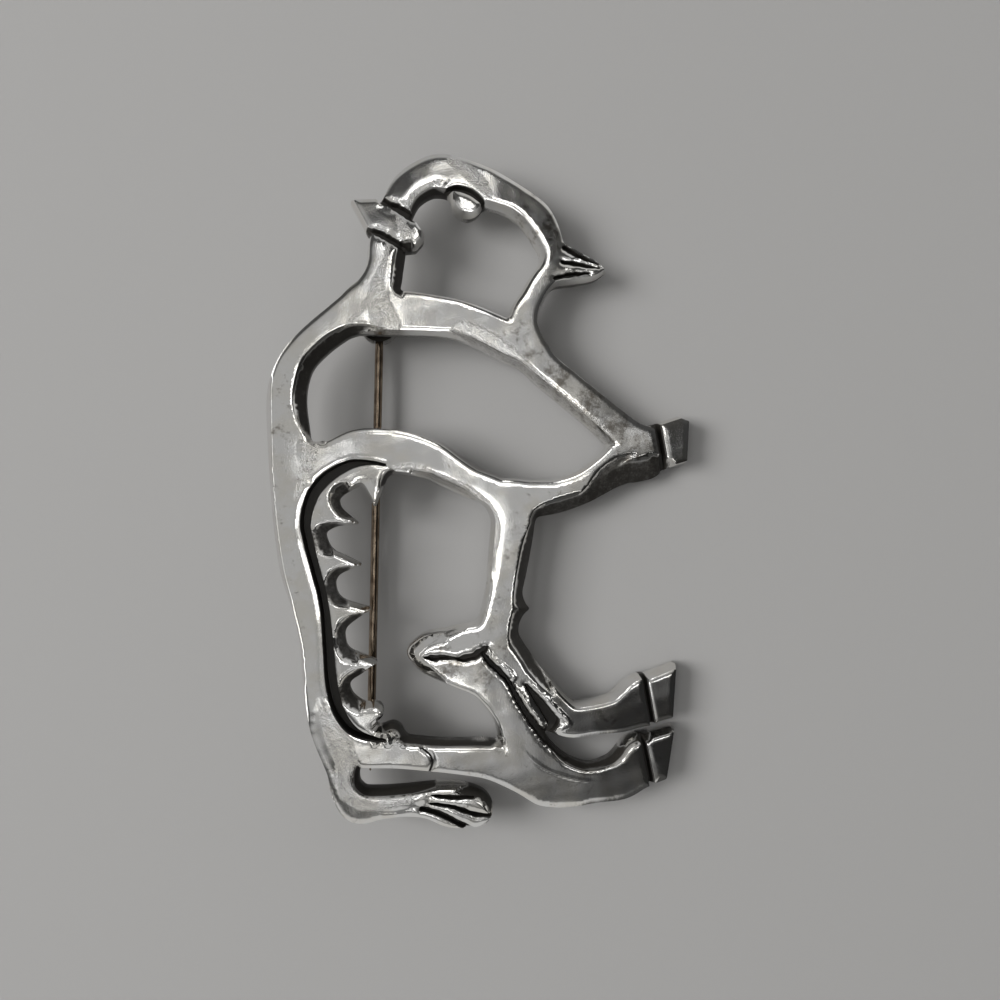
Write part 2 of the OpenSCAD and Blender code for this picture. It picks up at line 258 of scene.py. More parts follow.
BACK = [
    (-12.6, 19.6, 4.2), (-15.0, 17.8, 3.7), (-17.2, 16.0, 3.5), (-19.1, 13.9, 3.5), (-20.1, 11.6, 3.8),
    (-20.4, 9.0, 4.0), (-20.1, 5.0, 4.3), (-19.8, 0.0, 4.3), (-19.4, -4.0, 4.4), (-18.8, -8.0, 4.4),
    (-17.6, -12.0, 4.3), (-16.9, -16.0, 4.1), (-16.7, -20.0, 4.0), (-16.1, -24.0, 4.1), (-15.0, -27.4, 3.8),
    (-14.5, -29.8, 2.8),
]
RAGGED_STRIP = [
    (-10.6, 3.0, 2.0), (-13.0, 2.0, 2.4), (-16.0, 0.7, 3.4), (-17.0, -1.7, 2.8), (-17.4, -4.2, 2.0),
    (-16.9, -6.6, 2.2), (-16.4, -9.8, 2.0), (-15.8, -12.6, 2.0), (-15.3, -15.4, 1.8), (-15.0, -18.0, 2.0),
    (-14.6, -21.0, 1.6), (-13.4, -24.2, 3.2), (-11.9, -25.6, 2.0),
]
NECK_BAR = [
    (-13.5, 18.4, 3.4), (-10.0, 18.9, 4.6), (-5.0, 18.7, 4.2), (-2.0, 18.2, 4.0), (0.6, 17.2, 4.1),
    (3.4, 15.9, 4.2), (5.6, 14.6, 3.2),
]
CHEST = [
    (7.9, 24.0, 3.0), (6.5, 22.7, 2.6), (5.3, 20.7, 2.6), (4.5, 18.9, 3.1), (4.5, 17.0, 3.5),
    (6.2, 13.9, 3.5), (9.3, 11.3, 3.5), (12.7, 8.6, 3.6), (15.6, 6.2, 4.0), (17.4, 5.1, 4.4),
]
FORELEG = [
    (17.6, 4.2, 5.8), (16.6, 3.9, 5.6), (15.6, 3.4, 4.8), (13.7, 2.2, 3.9), (11.1, 0.6, 3.5),
    (8.2, -0.4, 3.6), (5.4, -0.7, 4.0), (3.0, -0.8, 4.2),
]
ELBOW_BAR = [
    (-18.0, 3.0, 4.2), (-15.6, 3.4, 4.2), (-13.0, 4.4, 4.6), (-10.6, 4.4, 4.8), (-8.0, 4.1, 4.6),
    (-5.4, 3.4, 4.0), (-3.5, 2.3, 3.6), (-1.3, 1.1, 3.2), (1.2, 0.0, 3.4), (3.4, -1.8, 4.4),
]
BELLY = [
    (3.3, -1.0, 4.6), (3.4, -3.0, 4.6), (3.2, -5.0, 4.5), (2.8, -8.0, 4.2), (2.4, -10.6, 3.9),
    (2.0, -13.2, 4.2), (1.6, -15.6, 4.6), (2.2, -18.0, 4.4),
]
NAVEL_TUFT = [(3.0, -12.3, 3.2), (4.4, -12.45, 1.1), (4.9, -12.5, 0.4)]
FLANK = [
    (-6.6, -17.0, 2.6), (-5.0, -17.1, 4.7), (-3.2, -17.4, 5.8), (-1.0, -17.6, 7.2), (0.8, -17.8, 7.4),
    (2.3, -18.7, 6.2),
]
THIGH = [
    (-1.2, -19.0, 3.4), (1.2, -21.2, 3.6), (3.0, -23.6, 3.8), (4.2, -26.2, 4.6), (5.4, -28.8, 5.6),
    (7.3, -30.7, 5.8), (9.6, -31.4, 4.8), (12.0, -31.5, 4.0), (14.8, -31.0, 4.6),
    (16.4, -30.0, 5.0), (17.4, -29.2, 5.6),
]
HIND_LEG = [
    (2.0, -16.4, 3.6), (3.3, -18.2, 3.8), (5.3, -20.8, 4.2), (7.3, -23.2, 4.3), (9.4, -24.5, 3.8),
    (12.0, -24.4, 3.6), (14.8, -24.0, 4.1), (16.4, -23.3, 4.8), (17.6, -22.7, 5.6),
]
RUMP_BAR = [
    (-15.4, -26.0, 3.0), (-13.0, -27.2, 3.0), (-9.0, -27.4, 3.2), (-5.0, -27.9, 3.2), (-2.0, -28.2, 3.5),
    (1.0, -28.6, 4.0), (3.8, -29.8, 4.2), (6.4, -31.3, 4.2),
]
TAIL = [
    (-14.5, -29.0, 2.8), (-14.4, -30.9, 3.1), (-13.0, -32.7, 3.6), (-10.6, -32.7, 3.0), (-8.0, -32.6, 2.9),
    (-5.6, -32.7, 3.4), (-3.2, -33.2, 4.4), (-1.2, -33.5, 4.0), (-0.4, -33.7, 3.2),
]
TUFTS = [
    [(-11.6, 2.6, 3.6), (-11.4, 0.7, 2.0), (-11.3, -1.4, 0.2)],
    [(-16.6, -2.2, 3.6), (-15.2, -2.6, 1.9), (-13.2, -3.25, 0.3)],
    [(-16.8, -7.7, 3.8), (-15.1, -7.5, 2.1), (-12.9, -7.6, 0.3)],
    [(-15.9, -12.9, 4.0), (-14.0, -12.6, 2.1), (-11.9, -12.3, 0.3)],
    [(-15.2, -18.2, 4.0), (-13.4, -18.1, 2.4), (-11.3, -17.9, 0.4)],
    [(-14.3, -23.3, 3.4), (-12.6, -23.5, 2.6), (-11.4, -23.1, 2.0)],
    [(-11.2, -25.4, 1.2), (-10.2, -25.3, 1.4), (-9.3, -25.1, 1.5), (-8.6, -25.7, 0.9)],
]
STRANDS = [
    CROWN, EYE, NECK, BEARD, BACK, RAGGED_STRIP, NECK_BAR, CHEST, FORELEG, ELBOW_BAR, BELLY, NAVEL_TUFT,
    FLANK, THIGH, HIND_LEG, RUMP_BAR, TAIL,
] + TUFTS

# Horn and hooves: blunt blocks, each given by its corners against the clock
# columns: x, y
BLOCKS = [
    [(-13.85, 30.4), (-12.0, 27.05), (-8.3, 25.35), (-7.0, 25.55), (-6.2, 26.5), (-6.2, 27.4), (-6.9, 28.4),
     (-11.1, 30.6)],
    [(18.2, 2.0), (20.4, 2.6), (22.5, 3.2), (22.75, 7.9), (21.6, 8.3), (18.6, 7.3)],
    [(17.4, -25.4), (20.9, -24.6), (21.3, -18.75), (18.4, -19.8), (17.0, -20.4)],
    [(17.2, -32.2), (20.2, -31.2), (21.1, -25.6), (18.4, -26.3), (17.0, -27.2)],
]

# Engraved lines: the depth of the cut, how wide its walls are, how ragged its edge is, and then the line
# columns: x, y, width
CUTS = [
    (1.5, 0.16, 0.0, [(18.9, 7.6, 0.75), (19.4, 4.9, 0.8), (20.0, 2.0, 0.7)]),
    (1.5, 0.14, 0.0, [(17.5, -19.8, 0.6), (17.8, -21.6, 0.62), (18.6, -25.8, 0.6)]),
    (1.5, 0.14, 0.0, [(17.3, -26.6, 0.6), (17.7, -28.4, 0.66), (18.55, -32.4, 0.6)]),
    (1.0, 0.14, 0.11, [(-11.5, 30.8, 0.35), (-10.4, 30.15, 0.6), (-8.9, 29.45, 0.8), (-7.2, 28.5, 0.9)]),
    (1.0, 0.14, 0.11, [(-12.1, 27.25, 0.4), (-11.0, 26.8, 0.65), (-9.6, 26.15, 0.7), (-8.1, 25.4, 0.6)]),
    (0.9, 0.16, 0.02, [(-4.3, 31.35, 0.2), (-2.9, 31.85, 0.6), (-1.2, 31.45, 0.7), (0.3, 30.2, 0.45)]),
    (0.9, 0.12, 0.06, [(8.7, 26.0, 0.55), (10.5, 25.1, 0.5), (12.5, 24.35, 0.15)]),
    (0.9, 0.12, 0.06, [(8.5, 24.5, 0.4), (10.4, 24.25, 0.45), (12.5, 23.95, 0.15)]),
    (0.9, 0.12, 0.06, [(7.7, 22.75, 0.35), (9.4, 23.15, 0.5), (11.4, 23.4, 0.15)]),
    (0.9, 0.12, 0.05, [(-5.4, -31.7, 0.2), (-3.8, -31.95, 0.5), (-2.2, -32.05, 0.45), (-0.9, -32.2, 0.2)]),
    (1.0, 0.12, 0.05, [(-5.5, -32.55, 0.25), (-3.2, -33.0, 0.45), (-0.9, -33.85, 0.5), (0.8, -34.1, 0.4)]),
    (1.0, 0.12, 0.05, [(-6.4, -33.05, 0.55), (-4.9, -33.5, 0.6), (-2.6, -34.7, 0.6), (-1.0, -35.5, 0.5)]),
    (0.9, 0.2, 0.09, [(-6.0, -17.3, 0.2), (-5.4, -17.35, 0.6), (-4.6, -17.35, 0.6), (-3.7, -17.3, 0.3)]),
    (0.5, 0.2, 0.09, [(-3.7, -17.3, 0.4), (-2.7, -17.5, 0.3)]),
    (0.9, 0.2, 0.09, [(-2.8, -17.5, 0.3), (-2.0, -17.5, 0.7), (-0.9, -17.25, 0.75), (-0.1, -16.75, 0.8),
                      (0.5, -16.3, 0.3)]),
    (1.1, 0.18, 0.10, [(0.1, -17.2, 0.5), (0.9, -18.2, 0.6), (1.9, -19.1, 0.6), (2.8, -20.1, 0.5),
                       (4.0, -22.4, 0.6), (5.6, -24.8, 0.8), (6.8, -26.2, 1.0), (7.9, -27.3, 1.0),
                       (9.0, -28.3, 0.9)]),
    (1.1, 0.2, 0.06, [(4.6, -20.4, 0.3), (5.8, -22.0, 0.8), (7.2, -24.0, 1.15), (7.6, -24.6, 1.1),
                      (7.0, -25.6, 0.6)]),
    (0.25, 0.06, 0.0, [(-6.4, -26.7, 0.16), (-5.6, -27.4, 0.18), (-5.3, -28.2, 0.18), (-5.6, -29.1, 0.18),
                       (-6.4, -29.9, 0.16)]),
]
CHANNEL_DEPTH = 1.9
CHANNEL_WALL = 0.2
CHANNEL = [
    (-10.2, 2.8, 0.2), (-12.0, 3.05, 0.45), (-14.0, 2.75, 0.95), (-16.2, 1.4, 1.2), (-17.6, -0.4, 1.2),
    (-18.3, -3.0, 1.05), (-18.0, -5.2, 0.95), (-17.4, -7.6, 0.95), (-16.7, -10.3, 0.9), (-16.3, -12.6, 0.9),
    (-16.0, -16.0, 1.05), (-15.7, -19.6, 1.15), (-15.1, -22.3, 1.15), (-13.9, -24.3, 1.05),
    (-12.4, -25.3, 0.7), (-10.2, -25.8, 0.3),
]

# Where the sloping side between wall and face is wider: its width, how black it is with oxide and with
# painted shade on the sides that look right and down, and the stretch
# columns: x, y, reach to both sides
BROAD_BEVELS = [
    (2.6, 0.85, [(20.2, 3.0, 1.6), (18.6, 2.5, 4.2), (16.6, 2.4, 4.8), (14.4, 1.5, 4.4), (12.4, 0.3, 3.2),
                 (10.6, -0.8, 1.6)]),
    (1.5, 0.85, [(13.4, 0.0, 1.6), (11.0, -0.9, 2.6), (8.4, -1.6, 2.8), (6.4, -2.6, 2.6),
                 (5.6, -4.4, 1.6)]),
    (1.3, 0.9, [(6.2, -2.6, 1.6), (5.2, -5.4, 2.4), (4.4, -9.0, 2.4), (4.2, -12.6, 2.6), (3.8, -16.2, 2.6),
                (5.6, -19.2, 2.0), (7.4, -21.4, 0.8)]),
    (1.15, 0.1, [(-4.4, -15.4, 1.8), (-6.8, -15.9, 2.6), (-7.4, -17.2, 3.0), (-6.6, -18.4, 2.6),
                 (-4.2, -19.8, 0.8)]),
    (0.9, 0.05, [(-8.4, 2.75, 0.3), (-7.0, 2.0, 0.8), (-5.1, 1.3, 1.5), (-2.2, -0.4, 1.9), (-0.7, -2.2, 2.0),
                 (-0.2, -4.8, 2.0), (-0.25, -8.4, 2.0), (-0.3, -11.0, 2.0), (-1.4, -12.9, 2.0),
                 (-3.4, -14.2, 2.0), (-5.0, -15.0, 1.6)]),
    (0.5, 0.5, [(-3.0, 16.8, 0.5), (1.4, 14.8, 1.5), (6.0, 11.6, 1.6), (10.0, 8.3, 1.6), (13.2, 5.9, 1.4),
                (14.8, 5.0, 0.5)]),
    (0.8, 1.0, [(-2.8, -31.5, 0.5), (-1.2, -31.9, 1.6), (0.3, -32.6, 1.8), (0.8, -33.6, 0.8)]),
    (1.2, 0.9, [(-10.4, 17.0, 0.3), (-12.4, 17.1, 1.0), (-14.6, 16.2, 2.2), (-17.2, 14.0, 2.8),
                (-18.3, 11.4, 2.8), (-18.4, 8.6, 2.8), (-17.6, 6.4, 2.0), (-16.6, 5.2, 0.8)]),
    (0.85, 0.1, [(-22.4, 16.0, 1.0), (-22.8, 10.0, 2.4), (-22.6, 0.0, 2.4), (-21.6, -8.0, 2.4),
                 (-19.8, -16.0, 2.4), (-19.2, -22.0, 2.0), (-17.8, -27.0, 1.0)]),
    (0.55, 0.95, [(-10.8, -23.6, 0.8), (-10.0, -24.2, 1.8), (-8.6, -25.2, 1.8), (-7.4, -26.1, 1.4),
                  (-4.6, -26.5, 0.9), (-1.5, -26.6, 0.8), (0.8, -26.7, 0.8), (2.0, -26.2, 0.6)]),
    (1.2, 0.8, [(-14.2, 0.9, 0.8), (-14.8, 0.2, 2.2), (-14.8, -0.8, 2.6), (-14.4, -1.8, 2.2),
                (-13.8, -2.6, 0.8)]),
    (1.15, 0.8, [(-14.4, -3.6, 0.8), (-15.6, -3.9, 2.0), (-16.8, -4.6, 2.6), (-16.6, -5.6, 2.2),
                 (-15.8, -6.4, 0.8)]),
    (1.15, 0.8, [(-13.9, -7.9, 0.8), (-15.0, -8.6, 2.0), (-15.4, -9.8, 2.6), (-15.0, -11.0, 2.0),
                 (-14.2, -11.7, 0.8)]),
    (1.05, 0.8, [(-12.8, -12.8, 0.8), (-13.9, -13.6, 2.0), (-14.5, -15.2, 2.4), (-14.1, -16.8, 2.0),
                 (-13.2, -17.5, 0.8)]),
    (1.05, 0.85, [(-12.6, -18.4, 0.8), (-13.4, -19.2, 2.0), (-14.1, -20.6, 2.4), (-13.6, -22.0, 1.8),
                  (-12.9, -22.7, 0.8)]),
    (0.5, 1.0, [(-10.6, 0.6, 0.5), (-10.2, 1.9, 1.6), (-9.4, 2.4, 0.5)]),
    (0.7, 0.9, [(6.0, -22.2, 0.5), (8.0, -27.2, 1.6), (10.4, -29.0, 1.7), (13.0, -29.0, 1.6),
                (15.4, -28.2, 1.6), (17.2, -27.0, 1.5), (18.4, -26.2, 0.6)]),
    (1.0, 1.0, [(-7.6, 26.2, 0.8), (-8.3, 25.0, 2.2), (-8.6, 23.0, 2.2), (-8.9, 21.4, 1.6),
                (-8.5, 20.2, 0.5)]),
    (0.45, 0.95, [(-6.9, 28.6, 0.5), (-7.2, 30.2, 1.6), (-5.8, 31.3, 1.5), (-3.9, 31.5, 0.6)]),
    (0.7, 1.0, [(-13.0, -28.4, 0.5), (-13.0, -30.0, 1.8), (-11.6, -31.2, 1.6), (-8.4, -31.2, 1.4),
                (-5.0, -31.0, 0.6)]),
]

# Where the polished shoulder inside the edge is wider, and how wide it is
# columns: x, y, reach to both sides
BROAD_SHOULDERS = [
    (0.9, [(-4.4, 16.7, 0.5), (-2.0, 16.2, 1.7), (1.4, 14.4, 1.9), (5.4, 12.2, 1.8), (8.6, 9.9, 1.6),
           (12.0, 7.4, 0.6)]),
    (1.1, [(-7.4, 2.4, 0.6), (-5.6, 2.0, 1.6), (-3.6, 1.0, 1.8), (-1.0, 0.0, 2.0), (1.2, -2.0, 2.4),
           (1.8, -4.8, 2.6), (1.4, -7.4, 1.9), (1.2, -9.6, 0.6)]),
    (1.5, [(-19.0, 5.0, 1.0), (-18.4, 3.6, 2.4), (-18.4, 2.4, 1.2)]),
    (0.6, [(-19.8, 6.0, 1.0), (-20.2, 9.0, 2.0), (-19.6, 12.6, 2.2), (-17.6, 15.6, 2.2), (-15.2, 17.8, 2.2),
           (-13.0, 19.6, 1.0)]),
    (0.6, [(-18.6, -0.2, 0.8), (-19.4, -3.0, 2.0), (-18.9, -7.0, 2.0), (-17.8, -12.0, 2.0),
           (-17.2, -18.0, 2.0), (-16.8, -22.0, 1.0)]),
    (1.9, [(-17.0, -21.0, 1.0), (-16.4, -24.0, 3.4), (-15.2, -26.6, 4.0), (-14.4, -28.6, 3.6),
           (-14.0, -31.0, 2.6), (-12.6, -32.4, 2.2), (-10.6, -32.4, 1.0)]),
    (1.5, [(-12.4, -32.2, 0.8), (-10.2, -32.4, 2.6), (-7.0, -32.2, 2.2), (-5.0, -31.8, 0.8)]),
    (1.5, [(-8.2, 29.6, 0.8), (-7.4, 30.8, 2.4), (-5.4, 32.2, 2.4), (-3.8, 32.6, 1.0)]),
    (1.5, [(-9.8, 27.0, 0.8), (-9.8, 25.6, 1.8), (-10.2, 23.4, 2.2), (-11.0, 21.0, 3.0), (-11.6, 19.0, 3.0),
           (-11.0, 17.4, 1.4)]),
    (1.2, [(-11.0, 29.4, 0.8), (-8.9, 28.6, 1.8), (-8.2, 26.8, 1.6), (-8.0, 26.0, 0.6)]),
    (0.95, [(-13.2, 1.2, 0.6), (-12.0, 0.6, 1.6), (-11.4, -0.8, 0.6)]),
    (0.95, [(-16.0, -3.0, 0.6), (-14.6, -3.3, 1.5), (-13.4, -3.6, 0.6)]),
    (0.95, [(-16.0, -8.3, 0.6), (-14.6, -8.2, 1.6), (-13.0, -8.0, 0.6)]),
    (0.95, [(-15.2, -13.6, 0.6), (-13.8, -13.4, 1.6), (-12.2, -12.9, 0.6)]),
    (0.95, [(-14.8, -19.2, 0.6), (-13.2, -19.0, 1.6), (-11.6, -18.4, 0.6)]),
]

# Soft ridges of metal pushed up beside the engraving, and their height
# columns: x, y, width
RIDGES = [
    (0.09, [(0.5, -16.3, 0.5), (1.1, -17.6, 0.6), (3.1, -19.2, 0.6), (3.15, -20.3, 0.6), (4.3, -21.9, 0.7),
            (6.2, -24.4, 0.7)]),
    (0.10, [(4.9, -20.3, 0.4), (6.3, -21.6, 0.6), (8.1, -23.3, 0.6), (9.2, -24.7, 0.6), (7.4, -25.4, 0.7),
            (8.2, -26.5, 0.6)]),
    (0.03, [(4.1, -27.2, 0.2), (5.6, -28.7, 0.5), (7.4, -29.8, 0.5), (10.2, -30.7, 0.5),
            (12.5, -31.0, 0.2)]),
    (0.16, [(8.9, 25.3, 0.3), (10.8, 24.7, 0.3), (12.6, 24.2, 0.2)]),
    (0.16, [(8.4, 23.8, 0.3), (10.4, 23.8, 0.3), (12.2, 23.7, 0.2)]),
]

# Small lumps of solder left where the strip was joined at the rump
# columns: x, y, radius, height
SOLDER = [
    (-10.7, -25.2, 0.35, 0.35), (-10.1, -25.1, 0.3, 0.5), (-9.35, -24.9, 0.4, 0.6), (-9.9, -25.8, 0.4, 0.3),
    (-9.1, -25.7, 0.35, 0.35), (-8.3, -26.1, 0.3, 0.2), (-11.2, -25.7, 0.4, 0.3),
]

FAR = 4.0
FILLET = 0.7
STRAND_STEPS = 6


def smooth_line(rows, steps=STRAND_STEPS):
    """The rows of a strand with a smooth curve's rows worked out between them."""
    rows = np.array(rows, float)
    padded = np.vstack([rows[:1], rows, rows[-1:]])
    share = (np.arange(steps) / steps)[:, None]
    parts = []
    for a, b, c, d in zip(padded, padded[1:], padded[2:], padded[3:]):
        parts.append(0.5 * (2 * b + (c - a) * share + (2 * a - 5 * b + 4 * c - d) * share ** 2
                            + (3 * b - a - 3 * c + d) * share ** 3))
    return np.vstack(parts + [rows[-1:]])


def depth_inside(points, rows, steps=STRAND_STEPS, margin=FAR):
    """How deep each point lies inside a strand, in mm: half the width there, less the way to its middle."""
    line = smooth_line(rows, steps)
    reach = line[:, 2].max() / 2 + margin
    low, high = line[:, :2].min(0) - reach, line[:, :2].max(0) + reach
    near = np.all((points > low) & (points < high), axis=1)
    p = points[near]
    best = np.full(len(p), -margin)
    for a, b in zip(line, line[1:]):
        run = b[:2] - a[:2]
        off = p - a[:2]
        share = np.clip(off @ run / max(run @ run, 1e-9), 0, 1)
        gap = np.hypot(off[:, 0] - share * run[0], off[:, 1] - share * run[1])
        best = np.maximum(best, (a[2] + (b[2] - a[2]) * share) / 2 - gap)
    depth = np.full(len(points), -margin)
    depth[near] = best
    return depth


def depth_in_block(points, corners):
    """How deep each point lies inside a blunt block with these corners, in mm."""
    corners = np.array(corners, float)
    depth = np.full(len(points), FAR)
    for a, b in zip(corners, np.roll(corners, -1, axis=0)):
        run = (b - a) / np.hypot(*(b - a))
        off = points - a
        depth = np.minimum(depth, run[0] * off[:, 1] - run[1] * off[:, 0])
    return np.maximum(depth, -FAR)


def fused(a, b, fillet=FILLET):
    """Two depths joined, with a small fillet in the corner between them."""
    return np.maximum(a, b) + np.maximum(fillet - np.abs(a - b), 0) ** 2 / (4 * fillet)


def eased(share):
    """0 below 0, 1 above 1, and a smooth step between."""
    share = np.clip(share, 0, 1)
    return share * share * (3 - 2 * share)


def bison_depth(points):
    """How deep each point lies inside the bison's outline, in mm."""
    depth = np.full(len(points), -FAR)
    for rows in STRANDS:
        depth = fused(depth, depth_inside(points, rows))
    for corners in BLOCKS:
        depth = np.maximum(depth, depth_in_block(points, corners))
    return depth


def ragged(points):
    """A quick unevenness between -1 and 1, for edges that were chased and not cut clean."""
    x, y = points[:, 0], points[:, 1]
    wander = 0.7 * np.sin(1.3 * x - 0.8 * y) + 0.5 * np.sin(0.9 * x + 2.3 * y)
    return (0.5 * np.sin(4.1 * x + 2.3 * y + 2 * wander) + 0.3 * np.sin(6.7 * y - 3.1 * x + 3 * wander)
            + 0.2 * np.sin(11.0 * x - 7.0 * y + 2 * wander))


# How far outside its edge a cut's wall starts, as a share of the wall, and how ragged the channel's edge is
WALL_SPILL = 0.3
CHANNEL_RAG = 0.015
ALL_CUTS = CUTS + [(CHANNEL_DEPTH, CHANNEL_WALL, CHANNEL_RAG, CHANNEL)]


def cut_fields(points):
    """For each point: the way to the nearest cut, the share of its wall passed, and how deep it is cut."""
    edge = np.full(len(points), FAR)
    share = np.full(len(points), -FAR)
    drop = np.zeros(len(points))
    teeth = ragged(points)
    for depth, wall, jag, rows in ALL_CUTS:
        inside = depth_inside(points, rows, margin=2.0) + jag * teeth
        passed = (inside + WALL_SPILL * wall) / wall
        edge = np.minimum(edge, -inside)
        share = np.maximum(share, passed)
        drop = np.maximum(drop, depth * eased(passed))
    return edge, share, drop


def nearness(points, rows, middle):
    """1 over the middle of a stretch, falling smoothly to 0 at its reach. A higher middle makes it wider."""
    reach = max(row[2] for row in rows) / 2
    return eased(depth_inside(points, rows, steps=4, margin=1.0) / reach * middle)


BEVEL = 0.26
BEVEL_MIDDLE = 3.0


def bevel_shape(points):
    """How wide the sloping side between wall and face is near each point, in mm, and its oxide and painted
    shade.
    """
    bevel = np.full(len(points), BEVEL)
    black = np.zeros(len(points))
    for width, oxide_and_shade, rows in BROAD_BEVELS:
        near = nearness(points, rows, BEVEL_MIDDLE)
        bevel = np.maximum(bevel, BEVEL + (width - BEVEL) * near)
        black = np.maximum(black, oxide_and_shade * near)
    return bevel, black


def shape_fields(points, depth):
    """For each point: share of the bevel passed, way in from every edge, and share of a cut's wall passed."""
    bevel, _ = bevel_shape(points)
    edge, share, _ = cut_fields(points)
    return depth / bevel, np.minimum(depth - bevel, edge), share


def swell(points):
    """The slow unevenness that hand filing leaves on the face, in mm."""
    x, y = points[:, 0], points[:, 1]
    slow = 0.012 * np.sin(0.61 * x + 0.37 * y + 0.5) * np.cos(0.52 * y - 0.23 * x + 1.1)
    quick = 0.003 * np.sin(1.9 * x - 1.3 * y) * np.sin(1.6 * y + 0.9 * x + 2.0)
    return slow + quick


SHOULDER = 0.45
SHOULDER_MIDDLE = 2.0
SHOULDER_SLOPE = 0.19
POLISHED_OFF = 0.04
RIDGE_STEEPNESS = 2.4
SOLDER_STEEPNESS = 1.4
HIGHEST_LUMP = 0.3
FACE_OVER_WALL = 0.1
BEVEL_ROUNDING = 1.25
BLACK_CUT_DEPTH = 0.2
BEVEL_OXIDE_AND_SHADE_SHARE = 4


def face_height(points, depth):
    """Height of the face above the casting's back at each point, in mm, and how black it is with oxide and
    painted shade.
    """
    bevel, black = bevel_shape(points)
    shoulder = np.full(len(points), SHOULDER)
    for width, rows in BROAD_SHOULDERS:
        near = nearness(points, rows, SHOULDER_MIDDLE)
        shoulder = np.maximum(shoulder, SHOULDER + (width - SHOULDER) * near)
    edge, _, drop = cut_fields(points)
    inner = np.clip(np.minimum(depth - bevel, edge) / shoulder, 0, 1)
    fall = SHOULDER_SLOPE / 2 * np.sqrt(SHOULDER * shoulder) * (1 - inner) ** 2
    top = PLATE_T - POLISHED_OFF + swell(points) - fall
    for height, rows in RIDGES:
        top += height * eased(depth_inside(points, rows, margin=1.0) * RIDGE_STEEPNESS)
    for x, y, radius, height in SOLDER:
        away = (points[:, 0] - x) ** 2 + (points[:, 1] - y) ** 2
        top += height * np.exp(-away / radius ** 2 * SOLDER_STEEPNESS)
    top = np.minimum(top, PLATE_T + HIGHEST_LUMP) - drop
    wall_top = np.minimum(WALL_TOP, top - FACE_OVER_WALL)
    passed = np.clip(depth / bevel, 0, 1)
    # oxide in the notches, and painted shade on the wide sides that look right and down, blackest at the wall
    bevel_oxide_and_shade = black * eased((1.0 - passed) * BEVEL_OXIDE_AND_SHADE_SHARE)
    oxide_and_shade = np.maximum(np.clip(drop / BLACK_CUT_DEPTH, 0, 1), bevel_oxide_and_shade)
    return wall_top + (top - wall_top) * (1 - (1 - passed) ** BEVEL_ROUNDING), oxide_and_shade


GRID = 0.1
PLATE_LOW = np.array([-23.2, -36.8])
PLATE_HIGH = np.array([24.0, 36.9])
LOOP_SPACING = 0.16
FACE_SPACING = 0.22
SHORTEST_LINE = 5


def level_lines(field, level):
    """The closed lines along which the gridded field crosses a level, as points in mm."""
    over = field > level
    mixed = over[:-1, :-1].astype(int) + over[1:, :-1] + over[:-1, 1:] + over[1:, 1:]
    wide = field.shape[1]
    links = {}

    def link(a, b):
        links.setdefault(a, []).append(b)
        links.setdefault(b, []).append(a)

    for i, j in np.argwhere((mixed > 0) & (mixed < 4)):
        bottom, left = (i * wide + j) * 2, (i * wide + j) * 2 + 1
        top, right = bottom + 2 * wide, left + 2
        a, b, c, d = over[i, j], over[i, j + 1], over[i + 1, j], over[i + 1, j + 1]
        sides = ((bottom, a != b), (right, b != d), (top, c != d), (left, a != c))
        crossed = [edge for edge, cut in sides if cut]
        if len(crossed) == 2:
            link(*crossed)
        elif (field[i:i + 2, j:j + 2].mean() > level) == a:
            link(bottom, right)
            link(top, left)
        else:
            link(bottom, left)
            link(top, right)
    flat = field.ravel()
    spots = {}
    for edge in links:
        node = edge // 2
        other = node + (wide if edge % 2 else 1)
        share = (level - flat[node]) / (flat[other] - flat[node])
        i, j = divmod(node, wide)
        spots[edge] = (j + (0 if edge % 2 else share), i + (share if edge % 2 else 0))
    lines = []
    unused = set(links)
    while unused:
        first = edge = unused.pop()
        line = [spots[edge]]
        while True:
            ahead = [other for other in links[edge] if other in unused]
            if not ahead:
                break
            edge = ahead[0]
            unused.discard(edge)
            line.append(spots[edge])
        if len(line) > SHORTEST_LINE:
            lines.append(PLATE_LOW + GRID * np.array(line))
    return lines


def evenly_spaced(line, spacing):
    """A closed line's points set at an even spacing."""
    ring = np.vstack([line, line[:1]])
    run = np.concatenate([[0], np.cumsum(np.hypot(*np.diff(ring, axis=0).T))])
    count = max(4, int(round(run[-1] / spacing)))
    stops = np.linspace(0, run[-1], count, endpoint=False)
    return np.column_stack([np.interp(stops, run, ring[:, 0]), np.interp(stops, run, ring[:, 1])])


def leaned(points):
    """Points of the flat plate, in mm, put where the resting brooch has them, in metres."""
    x, y, z = points.T
    turn, rise = math.cos(REST_TILT), math.sin(REST_TILT)
    return MM * np.column_stack([x * turn + z * rise - LEAN_MIDDLE, y, z * turn - x * rise + REST_LIFT])


def make_piece(name, points, faces, sharp_degrees):
    """A mesh piece from points in metres, smooth but for edges sharper than the angle."""
    mesh = bpy.data.meshes.new(name)
    mesh.from_pydata([tuple(point) for point in points], [], faces)
    mesh.validate()
    mesh.shade_smooth()
    mesh.set_sharp_from_angle(angle=math.radians(sharp_degrees))
    piece = bpy.data.objects.new(name, mesh)
    bpy.context.scene.collection.objects.link(piece)
    return piece


# How far outside the outline, in mm, the fields are still worked out
SPILL = 0.4


def grid_fields():
    """Four fields on a grid: depth in the outline, share of the bevel, way from a cut, share of its wall."""
    across = np.arange(PLATE_LOW[0], PLATE_HIGH[0], GRID)
    along = np.arange(PLATE_LOW[1], PLATE_HIGH[1], GRID)
    points = np.stack(np.meshgrid(across, along), axis=-1).reshape(-1, 2)
    depth = bison_depth(points)
    inside = depth > -SPILL
    side, inner, wall = (np.full(len(points), -FAR) for _ in range(3))
    side[inside], inner[inside], wall[inside] = shape_fields(points[inside], depth[inside])
    shape = (len(along), len(across))
    return [field.reshape(shape) for field in (depth, side, inner, wall)]


